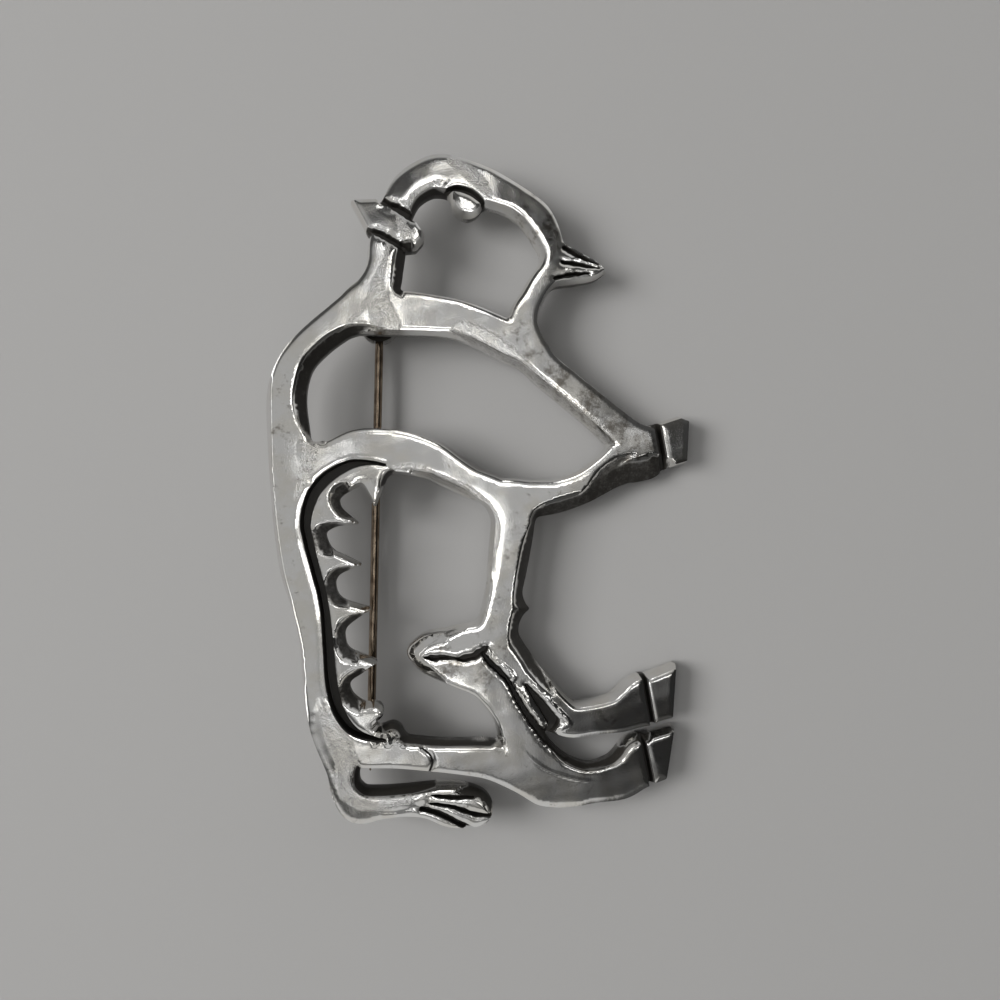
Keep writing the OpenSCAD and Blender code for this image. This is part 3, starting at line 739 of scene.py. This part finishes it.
def metal_faces(spots, edges, sources, faces, outline_count):
    """The triangles that lie in the metal: the outline parts them into groups, each all in or all out."""
    outline = {tuple(sorted(edge)) for edge, source in zip(edges, sources)
               if any(number < outline_count for number in source)}
    beside = {}
    for number, (a, b, c) in enumerate(faces):
        for edge in ((a, b), (b, c), (c, a)):
            edge = tuple(sorted(edge))
            if edge not in outline:
                beside.setdefault(edge, []).append(number)
    neighbours = [[] for _ in faces]
    for pair in beside.values():
        if len(pair) == 2:
            neighbours[pair[0]].append(pair[1])
            neighbours[pair[1]].append(pair[0])
    faces = np.array(faces)
    corners = spots[faces]
    a, b = corners[:, 1] - corners[:, 0], corners[:, 2] - corners[:, 0]
    area = np.abs(a[:, 0] * b[:, 1] - a[:, 1] * b[:, 0])
    vote = area * np.sign(bison_depth(corners.mean(axis=1)))
    kept = np.zeros(len(faces), bool)
    seen = np.zeros(len(faces), bool)
    for first in range(len(faces)):
        if seen[first]:
            continue
        seen[first] = True
        group = [first]
        for number in group:
            for other in neighbours[number]:
                if not seen[other]:
                    seen[other] = True
                    group.append(other)
        kept[group] = vote[group].sum() > 0
    return faces[kept]


# The levels of the fields along which the mesh gets a line of points: the share of the bevel passed, the way
# in over the shoulder, in mm, and the share of a cut's wall passed
BEVEL_LEVELS = (0.25, 0.55, 1.0)
SHOULDER_LEVELS = (0.14, 0.36)
CUT_LEVELS = (0.0, 0.35, 0.65, 1.0)
LINE_DEPTH = 0.05
FILLING_DEPTH = 0.1
ROW_SHARE = 0.866
SAME_SPOT = 1e-6


def triangulated(flat, edges):
    """Triangles that keep the edges: their points, edges and faces, and the sources of points and edges."""
    spots = [Vector(spot) for spot in flat.tolist()]
    spots, lines, faces, sources, line_sources, _ = delaunay_2d_cdt(spots, edges, [], 0, SAME_SPOT, True)
    return np.array([tuple(spot) for spot in spots]), lines, faces, sources, line_sources


def grid_cells(flat):
    """The grid's column and row nearest to each flat point."""
    return np.round((flat - PLATE_LOW) / GRID).astype(int).T


def bison_mesh():
    """Flat points, in mm, and faces that cover the whole pierced plate."""
    depth, side, inner, wall = grid_fields()
    loops = [evenly_spaced(line, LOOP_SPACING) for line in level_lines(depth, 0.0)]
    outline_count = len(loops)
    for field, levels in ((side, BEVEL_LEVELS), (inner, SHOULDER_LEVELS), (wall, CUT_LEVELS)):
        for level in levels:
            loops += [evenly_spaced(line, LOOP_SPACING) for line in level_lines(field, level)]
    taken = np.zeros(depth.shape, bool)
    points, edges = [], []
    count = 0
    for number, loop in enumerate(loops):
        column, row = grid_cells(loop)
        keep = np.ones(len(loop), bool) if number < outline_count else depth[row, column] > LINE_DEPTH
        place = np.cumsum(keep) - 1 + count
        joined = np.flatnonzero(keep & np.roll(keep, -1))
        edges += list(zip(place[joined].tolist(), np.roll(place, -1)[joined].tolist()))
        points.append(loop[keep])
        count += keep.sum()
        if number < outline_count:
            outline_edges = len(edges)
        for down in (-1, 0, 1):
            for right in (-1, 0, 1):
                taken[row + down, column + right] = True
    rows = np.arange(PLATE_LOW[1] + 1, PLATE_HIGH[1] - 1, FACE_SPACING * ROW_SHARE)
    columns = np.arange(PLATE_LOW[0] + 1, PLATE_HIGH[0] - 1, FACE_SPACING)
    filling = np.array([(x + FACE_SPACING / 2 * (k % 2), y) for k, y in enumerate(rows) for x in columns])
    column, row = grid_cells(filling)
    filling = filling[(depth[row, column] > FILLING_DEPTH) & ~taken[row, column]]
    flat, lines, faces, _, line_sources = triangulated(np.vstack(points + [filling]), edges)
    return flat, metal_faces(flat, lines, line_sources, faces, outline_edges)


# The wall under the face's rim, ring by ring: how far out it stands, in mm, and the share of the rim's height
# columns: out, height share
WALL_RINGS = [(0.04, 0.80), (0.05, 0.45), (0.02, 0.12), (-0.05, 0.0)]


def rim_loops(faces):
    """The loops that bound the kept faces, each in order with the metal on its left."""
    rim = {}
    known = set()
    for a, b, c in faces.tolist():
        known.update(((a, b), (b, c), (c, a)))
    for a, b in known:
        if (b, a) not in known:
            rim[a] = b
    loops = []
    while rim:
        first, spot = rim.popitem()
        loop = [first]
        while spot != first and spot in rim:
            loop.append(spot)
            spot = rim.pop(spot)
        loops.append(loop)
    return loops


def wound(spots, faces, way):
    """The faces with their corners in the order that makes them look up, for a way of 1, or down, for -1."""
    a, b, c = spots[faces[:, 0]], spots[faces[:, 1]], spots[faces[:, 2]]
    area = (b - a)[:, 0] * (c - a)[:, 1] - (b - a)[:, 1] * (c - a)[:, 0]
    turned = area * way < 0
    faces[turned] = faces[turned][:, ::-1]
    return faces


# Oxide on the walls: the least, and the painted shade added on the blackest ones, which look to the right and
# down, away from the light
SOOT_LEAST = 0.15
WALL_SHADE_MORE = 0.6
WALL_SHADE_WAY = (0.9, -0.25)
WALL_SHADE_START = 0.5
WALL_SHADE_FADE = 0.9
RIM_OXIDE_AND_SHADE_SHARE = 0.9

BACK_SPACING = 1.1
BACK_MARGIN = 0.5
BACK_WAVE = 0.03


def whole_plate():
    """Points, in mm, and faces of the closed plate, and how black each point is with oxide and painted shade.
    """
    flat, faces = bison_mesh()
    faces = wound(flat, faces, 1)
    height, face_oxide_and_shade = face_height(flat, bison_depth(flat))
    top = np.column_stack([flat, height])
    points, all_faces, oxide_and_shade = [top], faces.tolist(), [face_oxide_and_shade]
    count = len(top)
    foot, foot_edges = [], []
    for loop in rim_loops(faces):
        ring = top[loop]
        run = np.roll(ring, -1, axis=0)[:, :2] - np.roll(ring, 1, axis=0)[:, :2]
        run /= np.maximum(np.hypot(*run.T), SAME_SPOT)[:, None]
        outward = np.column_stack([run[:, 1], -run[:, 0]])
        toward = outward[:, 0] * WALL_SHADE_WAY[0] + outward[:, 1] * WALL_SHADE_WAY[1]
        # painted shade: the walls that look to the right and down are drawn blacker than the others
        wall_oxide_and_shade = SOOT_LEAST + WALL_SHADE_MORE * eased((toward + WALL_SHADE_START) / WALL_SHADE_FADE)
        wall_oxide_and_shade = np.maximum(wall_oxide_and_shade, face_oxide_and_shade[loop] * RIM_OXIDE_AND_SHADE_SHARE)
        above = loop
        for out, share in WALL_RINGS:
            below = list(range(count, count + len(loop)))
            points.append(np.column_stack([ring[:, :2] + outward * out, ring[:, 2] * share]))
            oxide_and_shade.append(wall_oxide_and_shade)
            count += len(loop)
            all_faces += [(above[(k + 1) % len(loop)], above[k], below[k], below[(k + 1) % len(loop)])
                          for k in range(len(loop))]
            above = below
        start = len(foot)
        foot += below
        foot_edges += [(start + k, start + (k + 1) % len(loop)) for k in range(len(loop))]
    everything = np.vstack(points)
    steps = [np.arange(low + 1, high - 1, BACK_SPACING) for low, high in zip(PLATE_LOW, PLATE_HIGH)]
    filling = np.stack(np.meshgrid(*steps), axis=-1).reshape(-1, 2)
    filling = filling[bison_depth(filling) > BACK_MARGIN]
    under = np.vstack([everything[foot][:, :2], filling])
    spots, lines, backs, sources, line_sources = triangulated(under, foot_edges)
    place = []
    extra = []
    for spot, source in zip(spots, sources):
        if source and source[0] < len(foot):
            place.append(foot[source[0]])
        else:
            place.append(count + len(extra))
            extra.append(spot)
    extra = np.array(extra)
    backs = wound(spots, metal_faces(spots, lines, line_sources, backs, len(foot_edges)), -1)
    all_faces += [[place[spot] for spot in face] for face in backs.tolist()]
    hollow = BACK_WAVE * np.sin(0.8 * extra[:, 0] + 0.4 * extra[:, 1]) * np.sin(0.5 * extra[:, 1] + 1.0)
    hollow *= eased(bison_depth(extra) * 2)
    everything = np.vstack([everything, np.column_stack([extra, BACK_WAVE + hollow])])
    oxide_and_shade.append(np.full(len(extra), SOOT_LEAST))
    return everything, all_faces, np.concatenate(oxide_and_shade)


def patches(points, rows):
    """How strongly soft round patches cover each point. Columns: x, y, radius, strength."""
    cover = np.zeros(len(points))
    for x, y, radius, strength in rows:
        away = (points[:, 0] - x) ** 2 + (points[:, 1] - y) ** 2
        cover = np.maximum(cover, strength * np.exp(-away / radius ** 2))
    return cover


# Brown tarnish that was left in the polishing, mostly along the chest, the front leg and the brow
# columns: x, y, radius, strength
TARNISH = [
    (3.6, 17.0, 1.6, 0.5), (5.2, 14.8, 1.6, 0.6), (8.2, 12.0, 1.8, 0.8), (11.4, 9.4, 1.8, 0.9),
    (14.6, 6.8, 2.0, 0.8), (17.4, 5.2, 1.8, 0.7), (15.8, 3.6, 1.8, 0.7), (4.6, 30.2, 1.8, 0.5),
    (6.6, 27.8, 1.8, 0.6), (7.6, 25.0, 1.4, 0.5), (-20.6, 6.2, 1.3, 0.35), (-21.0, 11.0, 1.2, 0.25),
    (12.8, -24.4, 1.2, 0.35), (-2.0, -33.4, 1.4, 0.3), (-18.4, 1.6, 0.9, 0.3), (2.4, -16.2, 1.4, 0.3),
    (3.4, -3.6, 1.9, 0.25), (3.2, -7.0, 1.9, 0.3), (2.6, -10.6, 1.8, 0.35), (-3.2, -18.6, 1.6, 0.75),
    (0.4, -19.4, 1.6, 0.6), (-4.6, -16.2, 1.3, 0.5),
]

# Strips where the metal was left bright and grainy
# columns: x, y, width
GRAIN = [
    [(-9.8, 26.2, 0.5), (-10.2, 24.0, 0.6), (-11.0, 21.4, 1.5), (-10.7, 19.2, 2.6), (-10.0, 17.3, 3.0)],
    [(-11.8, 19.9, 0.8), (-14.3, 16.9, 0.5), (-16.5, 14.6, 0.3)],
    [(-8.7, 28.3, 0.8), (-8.0, 26.6, 1.2), (-7.8, 25.6, 0.6)],
    [(-3.4, 34.6, 0.9), (-1.6, 33.6, 1.5), (-0.2, 32.4, 1.5), (0.7, 31.3, 0.8)],
    [(-8.0, 29.6, 0.5), (-7.3, 30.9, 0.7), (-5.6, 32.1, 0.6), (-4.4, 32.6, 0.4)],
    [(-3.2, 16.9, 0.6), (-2.2, 17.2, 1.7), (0.4, 16.2, 1.9), (3.0, 14.7, 1.5), (5.4, 12.7, 0.9),
     (9.6, 9.3, 0.6), (13.6, 6.6, 0.4)],
    [(-9.6, 2.45, 0.3), (-7.2, 2.6, 0.9), (-4.4, 1.45, 0.9), (-1.7, 0.3, 1.1), (0.4, -1.6, 1.2),
     (0.9, -3.4, 1.9), (0.9, -5.4, 1.7), (0.3, -7.4, 0.9), (-0.1, -9.5, 0.3)],
    [(-17.6, 5.2, 1.2), (-17.9, 3.6, 1.7), (-18.4, 1.8, 1.2), (-19.3, -0.6, 0.5)],
    [(-16.6, -22.5, 0.8), (-15.4, -25.2, 2.0), (-14.2, -27.6, 2.4), (-14.4, -29.8, 1.6), (-13.2, -31.8, 1.6),
     (-10.4, -32.3, 1.4), (-7.6, -32.0, 0.8)],
]
GRAIN_SPILL = 0.2
GRAIN_FADE = 0.6
PLATE_SHARP_DEGREES = 34


def grain_cover(points):
    """How strongly the grain covers each point, from 0 to 1."""
    cover = np.zeros(len(points))
    for rows in GRAIN:
        inside = depth_inside(points, rows, margin=1.0)
        cover = np.maximum(cover, np.clip((inside + GRAIN_SPILL) / GRAIN_FADE, 0, 1))
    return cover


def set_share(piece, name, shares):
    """Gives each point of the piece a share from 0 to 1, which its finish reads by this name."""
    layer = piece.data.attributes.new(name, "FLOAT", "POINT")
    layer.data.foreach_set("value", shares.astype(np.float32))


plate_points, plate_faces, plate_oxide_and_shade = whole_plate()
plate = make_piece("bison_plate", leaned(plate_points), plate_faces, PLATE_SHARP_DEGREES)
set_share(plate, "oxide_and_shade_share", plate_oxide_and_shade)
set_share(plate, "tarnish", patches(plate_points, TARNISH))
set_share(plate, "grain", grain_cover(plate_points[:, :2]))

silver, silver_tree, silver_shader = new_material("worn_silver")
plate.data.materials.append(silver)


class Finish(Nodes):
    """The nodes of one finish, measured in the object's own millimetres."""

    def __init__(self, tree):
        super().__init__(tree)
        place = tree.nodes.new("ShaderNodeTexCoord")
        in_mm = tree.nodes.new("ShaderNodeVectorMath")
        in_mm.operation = "SCALE"
        in_mm.inputs["Scale"].default_value = 1 / MM
        tree.links.new(place.outputs["Object"], in_mm.inputs[0])
        self.place = in_mm.outputs["Vector"]

    def stretched(self, stretch, turn_degrees=0.0):
        node = self.tree.nodes.new("ShaderNodeMapping")
        node.inputs["Rotation"].default_value = (0.0, 0.0, math.radians(turn_degrees))
        node.inputs["Scale"].default_value = stretch
        self.tree.links.new(self.place, node.inputs["Vector"])
        return node.outputs["Vector"]

    def noise(self, scale, detail, rough, place=None):
        node = self.tree.nodes.new("ShaderNodeTexNoise")
        node.inputs["Scale"].default_value = scale
        node.inputs["Detail"].default_value = detail
        node.inputs["Roughness"].default_value = rough
        self.tree.links.new(place or self.place, node.inputs["Vector"])
        return node.outputs["Fac"]

    def attribute(self, name):
        node = self.tree.nodes.new("ShaderNodeAttribute")
        node.attribute_name = name
        return node.outputs["Fac"]

    def mix(self, share, first, second):
        """A mix of two colours. The node takes them in its sockets 6 and 7, and gives the mix from 2."""
        node = self.tree.nodes.new("ShaderNodeMix")
        node.data_type = "RGBA"
        self.tree.links.new(share, node.inputs["Factor"])
        for socket, value in ((node.inputs[6], first), (node.inputs[7], second)):
            if isinstance(value, tuple):
                socket.default_value = (*value, 1.0)
            else:
                self.tree.links.new(value, socket)
        return node.outputs[2]

    def bump(self, height, distance_mm, normal=None):
        node = self.tree.nodes.new("ShaderNodeBump")
        node.inputs["Distance"].default_value = distance_mm * MM
        self.tree.links.new(height, node.inputs["Height"])
        if normal is not None:
            self.tree.links.new(normal, node.inputs["Normal"])
        return node.outputs["Normal"]


SILVER_COLOUR = (0.86, 0.855, 0.84)
SILVER_WARM = (0.82, 0.80, 0.75)
TARNISH_BROWN = (0.20, 0.17, 0.135)
PIT_GREY = (0.26, 0.25, 0.235)
OXIDE_AND_SHADE_BLACK = (0.035, 0.032, 0.028)

# Fine scratches that run two ways
# columns: stretch across, stretch along, turn in degrees, depth in mm
SCRATCHES = [(15.0, 1.6, 32.0, 0.0012), (17.0, 1.4, -58.0, 0.0009)]
GRAIN_MM = 0.011

nodes = Finish(silver_tree)
cloud = nodes.noise(0.35, 4.0, 0.55)
blots = nodes.noise(1.2, 5.0, 0.65)
fine = nodes.noise(4.5, 4.0, 0.6)
grit = nodes.noise(9.0, 2.0, 0.5)
grain_share = nodes.plus(nodes.attribute("grain"), nodes.times(nodes.minus(grit, 0.5), 1.2))
grain_share = nodes.ramp(grain_share, 0.3, 0.8)

# polished silver, a little warmer in clouds
colour = nodes.mix(nodes.ramp(cloud, 0.38, 0.66), SILVER_COLOUR, SILVER_WARM)
# brown tarnish in blots
spotted = nodes.plus(nodes.times(blots, 1.3), nodes.times(fine, 0.3))
spotted = nodes.plus(spotted, nodes.times(nodes.attribute("tarnish"), 0.42))
spotted = nodes.ramp(spotted, 0.90, 1.30)
colour = nodes.mix(nodes.times(spotted, 0.8), colour, TARNISH_BROWN)
# dull pits between the grains
pits = nodes.ramp(nodes.plus(grit, nodes.times(fine, 0.5)), 0.76, 0.92)
pits = nodes.times(grain_share, pits)
colour = nodes.mix(nodes.times(pits, 0.6), colour, PIT_GREY)
# black oxide in the cuts and on the walls, and painted shade on the walls and wide sides that look right and
# down and on the fittings near the plate
oxide_and_shade_black = nodes.plus(nodes.times(blots, 0.3), nodes.times(fine, 0.2))
oxide_and_shade_black = nodes.ramp(nodes.plus(nodes.attribute("oxide_and_shade_share"), oxide_and_shade_black), 0.50, 1.15)
colour = nodes.mix(oxide_and_shade_black, colour, OXIDE_AND_SHADE_BLACK)

rough = nodes.ramp(cloud, 0.3, 0.7, 0.05, 0.08)
rough = nodes.plus(rough, nodes.times(grain_share, 0.05))
rough = nodes.plus(rough, nodes.times(oxide_and_shade_black, 0.35))
relief = None
for wide, long, turn, depth in SCRATCHES:
    scratches = nodes.noise(1.0, 3.0, 0.6, nodes.stretched((wide, long, wide), turn))
    relief = nodes.bump(scratches, depth, relief)
for texture, everywhere in ((fine, 0.08), (grit, 0.07)):
    relief = nodes.bump(nodes.times(texture, nodes.plus(grain_share, everywhere)), GRAIN_MM, relief)
silver_tree.links.new(colour, silver_shader.inputs["Base Color"])
silver_tree.links.new(nodes.ramp(oxide_and_shade_black, 0.0, 1.0, 1.0, 0.35), silver_shader.inputs["Metallic"])
silver_tree.links.new(rough, silver_shader.inputs["Roughness"])
silver_tree.links.new(relief, silver_shader.inputs["Normal"])

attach(plate, "brooch")
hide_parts("bison_casting")

# Ball joint
# Two silver lobes on a short post, soldered to the back under the neck bar, with a slot between them for the
# pin's eye. Each lobe is turned, so its rims are rounded, and the solder flares at the post's foot.
LEAN_OF_PIN = math.radians(1.2)
SLOT_HALF = 0.5
BORE_R = 0.37
POST_R = 1.5
LOBE_SIDES = 56
FITTING_SHARP_DEGREES = 40

# The slot's wall, from the bore to the rim
# columns: way along the rivet, radius
LOBE_WALL = [
    (SLOT_HALF + 0.05, BORE_R), (SLOT_HALF, BORE_R + 0.06), (SLOT_HALF, 1.2), (SLOT_HALF, 1.88),
    (SLOT_HALF + 0.03, 1.98),
]
LOBE_CURVE = np.linspace(0.05, 0.965, 16)

# The post, from inside the ball to the solder at its foot
# columns: way toward the plate, radius
POST = [
    (1.3, 0.0), (1.3, POST_R - 0.12), (1.36, POST_R - 0.03), (1.45, POST_R),
    (PIN_DROP - 0.28, POST_R + 0.01), (PIN_DROP - 0.12, POST_R + 0.14), (PIN_DROP - 0.02, POST_R + 0.5),
    (PIN_DROP + 0.1, POST_R + 0.6),
]


def at_rivet(points):
    """Points round the rivet, in mm, with the pin running to -Y, put where the resting brooch has them."""
    x, y, z = np.array(points, float).T
    turn, rise = math.cos(-LEAN_OF_PIN), math.sin(-LEAN_OF_PIN)
    across = RIVET_AT[0] + x * turn - y * rise
    along = RIVET_AT[1] + x * rise + y * turn
    return leaned(np.column_stack([across, along, z - PIN_DROP]))


def tube_faces(rings, sides, capped=False):
    """Faces from ring to ring of a tube's points, with both ends closed if it is capped."""
    faces = []
    for start in range(0, (rings - 1) * sides, sides):
        for k in range(sides):
            ahead = (k + 1) % sides
            faces.append((start + k, start + ahead, start + sides + ahead, start + sides + k))
    if capped:
        faces += [tuple(range(sides)), tuple(range((rings - 1) * sides, rings * sides))]
    return faces


def turned_round(profile, axis, sides, capped=False):
    """Points and faces of a profile of (way along the axis, radius) rows turned round the X, Y or Z axis."""
    points = []
    for along, radius in profile:
        for k in range(sides):
            a = 2 * math.pi * k / sides
            spot = [radius * math.cos(a), radius * math.sin(a)]
            spot.insert(axis, along)
            points.append(spot)
    return points, tube_faces(len(profile), sides, capped)


def joined(parts):
    """Several (points, faces) put together as one list of points and one of faces."""
    points, faces = [], []
    for some_points, some_faces in parts:
        start = len(points)
        points += [list(point) for point in some_points]
        faces += [tuple(start + spot for spot in face) for face in some_faces]
    return points, faces


def mirrored(rows):
    """The rows from last to first, on the other side of 0 in their first column."""
    return [(-along, other) for along, other in reversed(rows)]


def make_fitting(name, points, faces, finish, sharp_degrees=FITTING_SHARP_DEGREES):
    """A piece of the pin's fittings, from points in mm round the rivet, with all its faces looking out."""
    piece = make_piece(name, at_rivet(points), faces, sharp_degrees)
    shell = bmesh.new()
    shell.from_mesh(piece.data)
    bmesh.ops.recalc_face_normals(shell, faces=shell.faces)
    shell.to_mesh(piece.data)
    shell.free()
    piece.data.materials.append(finish)
    return piece


def shade_toward_plate(piece, share_low, share_high):
    """Painted shade: the piece is drawn darker toward the plate, under which it lies, and lighter where it
    stands out.
    """
    heights = np.array([corner.co.z for corner in piece.data.vertices])
    set_share(piece, "oxide_and_shade_share", np.interp(heights, (heights.min(), heights.max()), (share_low, share_high)))


def lobe(way):
    """One lobe of the ball, from the slot's wall out to the pole, with its bore open."""
    rim = math.asin(SLOT_HALF / BALL_R)
    pole = math.pi / 2 - BORE_R / BALL_R
    turns = [rim + (pole - rim) * share for share in LOBE_CURVE]
    profile = LOBE_WALL + [(BALL_R * math.sin(a), BALL_R * math.cos(a)) for a in turns]
    profile += [(BALL_R * math.sin(pole) - 0.02, BORE_R + 0.02), (BALL_R - 0.35, BORE_R), LOBE_WALL[0]]
    return turned_round([(way * along, radius) for along, radius in profile], 0, LOBE_SIDES)


ball_shape = joined([lobe(1), lobe(-1), turned_round(POST, 2, LOBE_SIDES)])
ball_joint = make_fitting("ball_joint", *ball_shape, silver)
# painted shade: the ball joint is drawn darker toward the plate that it lies under
shade_toward_plate(ball_joint, 0.25, 1.0)
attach(ball_joint, "brooch")
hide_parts("bison_casting")

# Catch
# A short silver barrel on a foot, soldered to the back above the rump, with a mouth along its outer side that
# the pin snaps through.
CATCH_RUN = 45.4
BARREL_R = 2.2
BARREL_HALF = 1.2
WIRE_HOLE_R = 0.57
MOUTH_HALF = 0.5
MOUTH_SHARE = 0.5
ARC_POINTS = 26
FOOT_HALF = 1.8
# columns: half width, height
FOOT = [(FOOT_HALF, PIN_DROP - 0.3), (1.9, PIN_DROP - 0.08), (2.25, PIN_DROP + 0.1)]
# columns: way along the barrel, how far its edges are drawn in there
BARREL_END = [(-BARREL_HALF, 0.13), (-BARREL_HALF + 0.03, 0.05), (-BARREL_HALF + 0.12, 0.0)]


def catch_profile(inset):
    """The barrel's outline seen along the pin, in mm, drawn in from its edges by the inset."""
    outer, hole, mouth = BARREL_R - inset, WIRE_HOLE_R + inset, MOUTH_HALF + inset
    lip = math.asin(mouth / outer)
    foot_start = math.pi / 2 + math.acos(FOOT_HALF / BARREL_R)
    outline = [(mouth, -hole * MOUTH_SHARE)]
    outline += [(outer * math.sin(a), -outer * math.cos(a)) for a in np.linspace(lip, foot_start, ARC_POINTS)]
    outline += [(half - inset, height) for half, height in FOOT]
    outline += mirrored(outline)
    hole_start = math.asin(MOUTH_HALF / WIRE_HOLE_R)
    outline += [(hole * math.sin(a), -hole * math.cos(a))
                for a in np.linspace(-hole_start, -2 * math.pi + hole_start, ARC_POINTS)]
    return outline


catch_points = []
for along, inset in BARREL_END + mirrored(BARREL_END):
    around = catch_profile(inset)
    catch_points += [(x, along - CATCH_RUN, z) for x, z in around]
catch = make_fitting("catch", catch_points, tube_faces(2 * len(BARREL_END), len(around), capped=True), silver)
# painted shade: the catch is drawn darker toward the plate that it lies under
shade_toward_plate(catch, 0.25, 0.9)
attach(catch, "brooch")
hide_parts("bison_casting")

# Pin
# A straight sprung steel wire: a flat eye turns on the rivet, the neck beside it is a little slimmer, and the
# far end is ground to a point. It is drawn wire, so fine lines run along it. Its brown, darker in blots, is
# partly tarnish and partly a painted reflection of the brown that the wire's sides mirror.
STEM_LENGTH = 48.6
STEM_SIDES = 28
STEM_START = 0.9
WIRE_R = 0.45
NECK_RUN = 3.2
NECK_SHARE = 0.9
NECK_MORE = 0.1
POINT_RUN = 5.4
POINT_R = 0.08
TIP_R = 0.03
EYE_R = 1.1
EYE_BORE_R = 0.40
EYE_SIDES = 48
# columns: way from the eye's middle, radius
EYE_EDGE = [
    (0.41, EYE_BORE_R), (0.45, EYE_BORE_R + 0.04), (0.45, EYE_R - 0.1), (0.42, EYE_R - 0.03), (0.35, EYE_R),
]
STEEL_BROWN = (0.30, 0.24, 0.18)
STEEL_DARK = (0.14, 0.10, 0.07)

straight_run = STEM_LENGTH - NECK_RUN - POINT_RUN
stem = [(0.0, NECK_SHARE * WIRE_R * 0.98)]
stem += [(-NECK_RUN * share, WIRE_R * (NECK_SHARE + NECK_MORE * share)) for share in np.linspace(0.1, 1.0, 6)]
stem += [(-NECK_RUN - straight_run * share, WIRE_R) for share in np.linspace(0.04, 1.0, 24)]
for share in np.linspace(0.1, 0.98, 12):
    taper = math.cos(math.pi / 2 * share) ** 0.9
    stem.append((-STEM_LENGTH + POINT_RUN * (1 - share), POINT_R + (WIRE_R - POINT_R) * taper))
stem.append((-STEM_LENGTH, TIP_R))
stem_points, stem_faces = turned_round(stem, 1, STEM_SIDES, capped=True)
# the wire starts on the eye's rim and not on the rivet
stem_points = [(x, min(y, -STEM_START), z) for x, y, z in stem_points]
eye = turned_round(EYE_EDGE + mirrored(EYE_EDGE) + EYE_EDGE[:1], 0, EYE_SIDES)
steel, steel_tree, steel_shader = new_material("drawn_steel")
pin = make_fitting("pin_wire", *joined([(stem_points, stem_faces), eye]), steel)

nodes = Finish(steel_tree)
drawn = nodes.noise(1.0, 2.0, 0.5, nodes.stretched((14.0, 0.35, 14.0)))
tarnish_and_reflection_blots = nodes.ramp(nodes.noise(0.8, 3.0, 0.6), 0.35, 0.7)
# partly tarnish, partly painted reflection: the brown base colour stands for the brown that the wire's sides
# mirror
steel_tree.links.new(nodes.mix(tarnish_and_reflection_blots, STEEL_BROWN, STEEL_DARK), steel_shader.inputs["Base Color"])
steel_shader.inputs["Metallic"].default_value = 1.0
steel_tree.links.new(nodes.ramp(drawn, 0.3, 0.7, 0.14, 0.22), steel_shader.inputs["Roughness"])
steel_tree.links.new(nodes.bump(drawn, 0.006), steel_shader.inputs["Normal"])
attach(pin, "pin")
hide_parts("pin_stem")

# Rivet
# A nickel silver pin through both lobes, peened to a low dome at each end.
RIVET_R = 0.35
RIVET_HALF = 2.05
RIVET_SIDES = 32
RIVET_SHARP_DEGREES = 50
# columns: way from the rivet's middle, radius
RIVET_END = [
    (-RIVET_HALF - 0.03, 0.0), (-RIVET_HALF, 0.2), (-RIVET_HALF + 0.06, RIVET_R - 0.04),
    (-RIVET_HALF + 0.14, RIVET_R),
]
NICKEL_PALE = (0.62, 0.58, 0.50)
NICKEL_DULL = (0.45, 0.40, 0.32)

rivet_shape = turned_round(RIVET_END + mirrored(RIVET_END), 0, RIVET_SIDES)
nickel, nickel_tree, nickel_shader = new_material("nickel_silver")
rivet = make_fitting("rivet", *rivet_shape, nickel, RIVET_SHARP_DEGREES)

nodes = Finish(nickel_tree)
hammered = nodes.noise(6.0, 3.0, 0.5)
dulled = nodes.ramp(hammered, 0.35, 0.7)
nickel_tree.links.new(nodes.mix(dulled, NICKEL_PALE, NICKEL_DULL), nickel_shader.inputs["Base Color"])
nickel_shader.inputs["Metallic"].default_value = 1.0
nickel_tree.links.new(nodes.ramp(hammered, 0.3, 0.7, 0.28, 0.42), nickel_shader.inputs["Roughness"])
nickel_tree.links.new(nodes.bump(hammered, 0.02), nickel_shader.inputs["Normal"])
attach(rivet, "brooch")
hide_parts("joint_rivet")
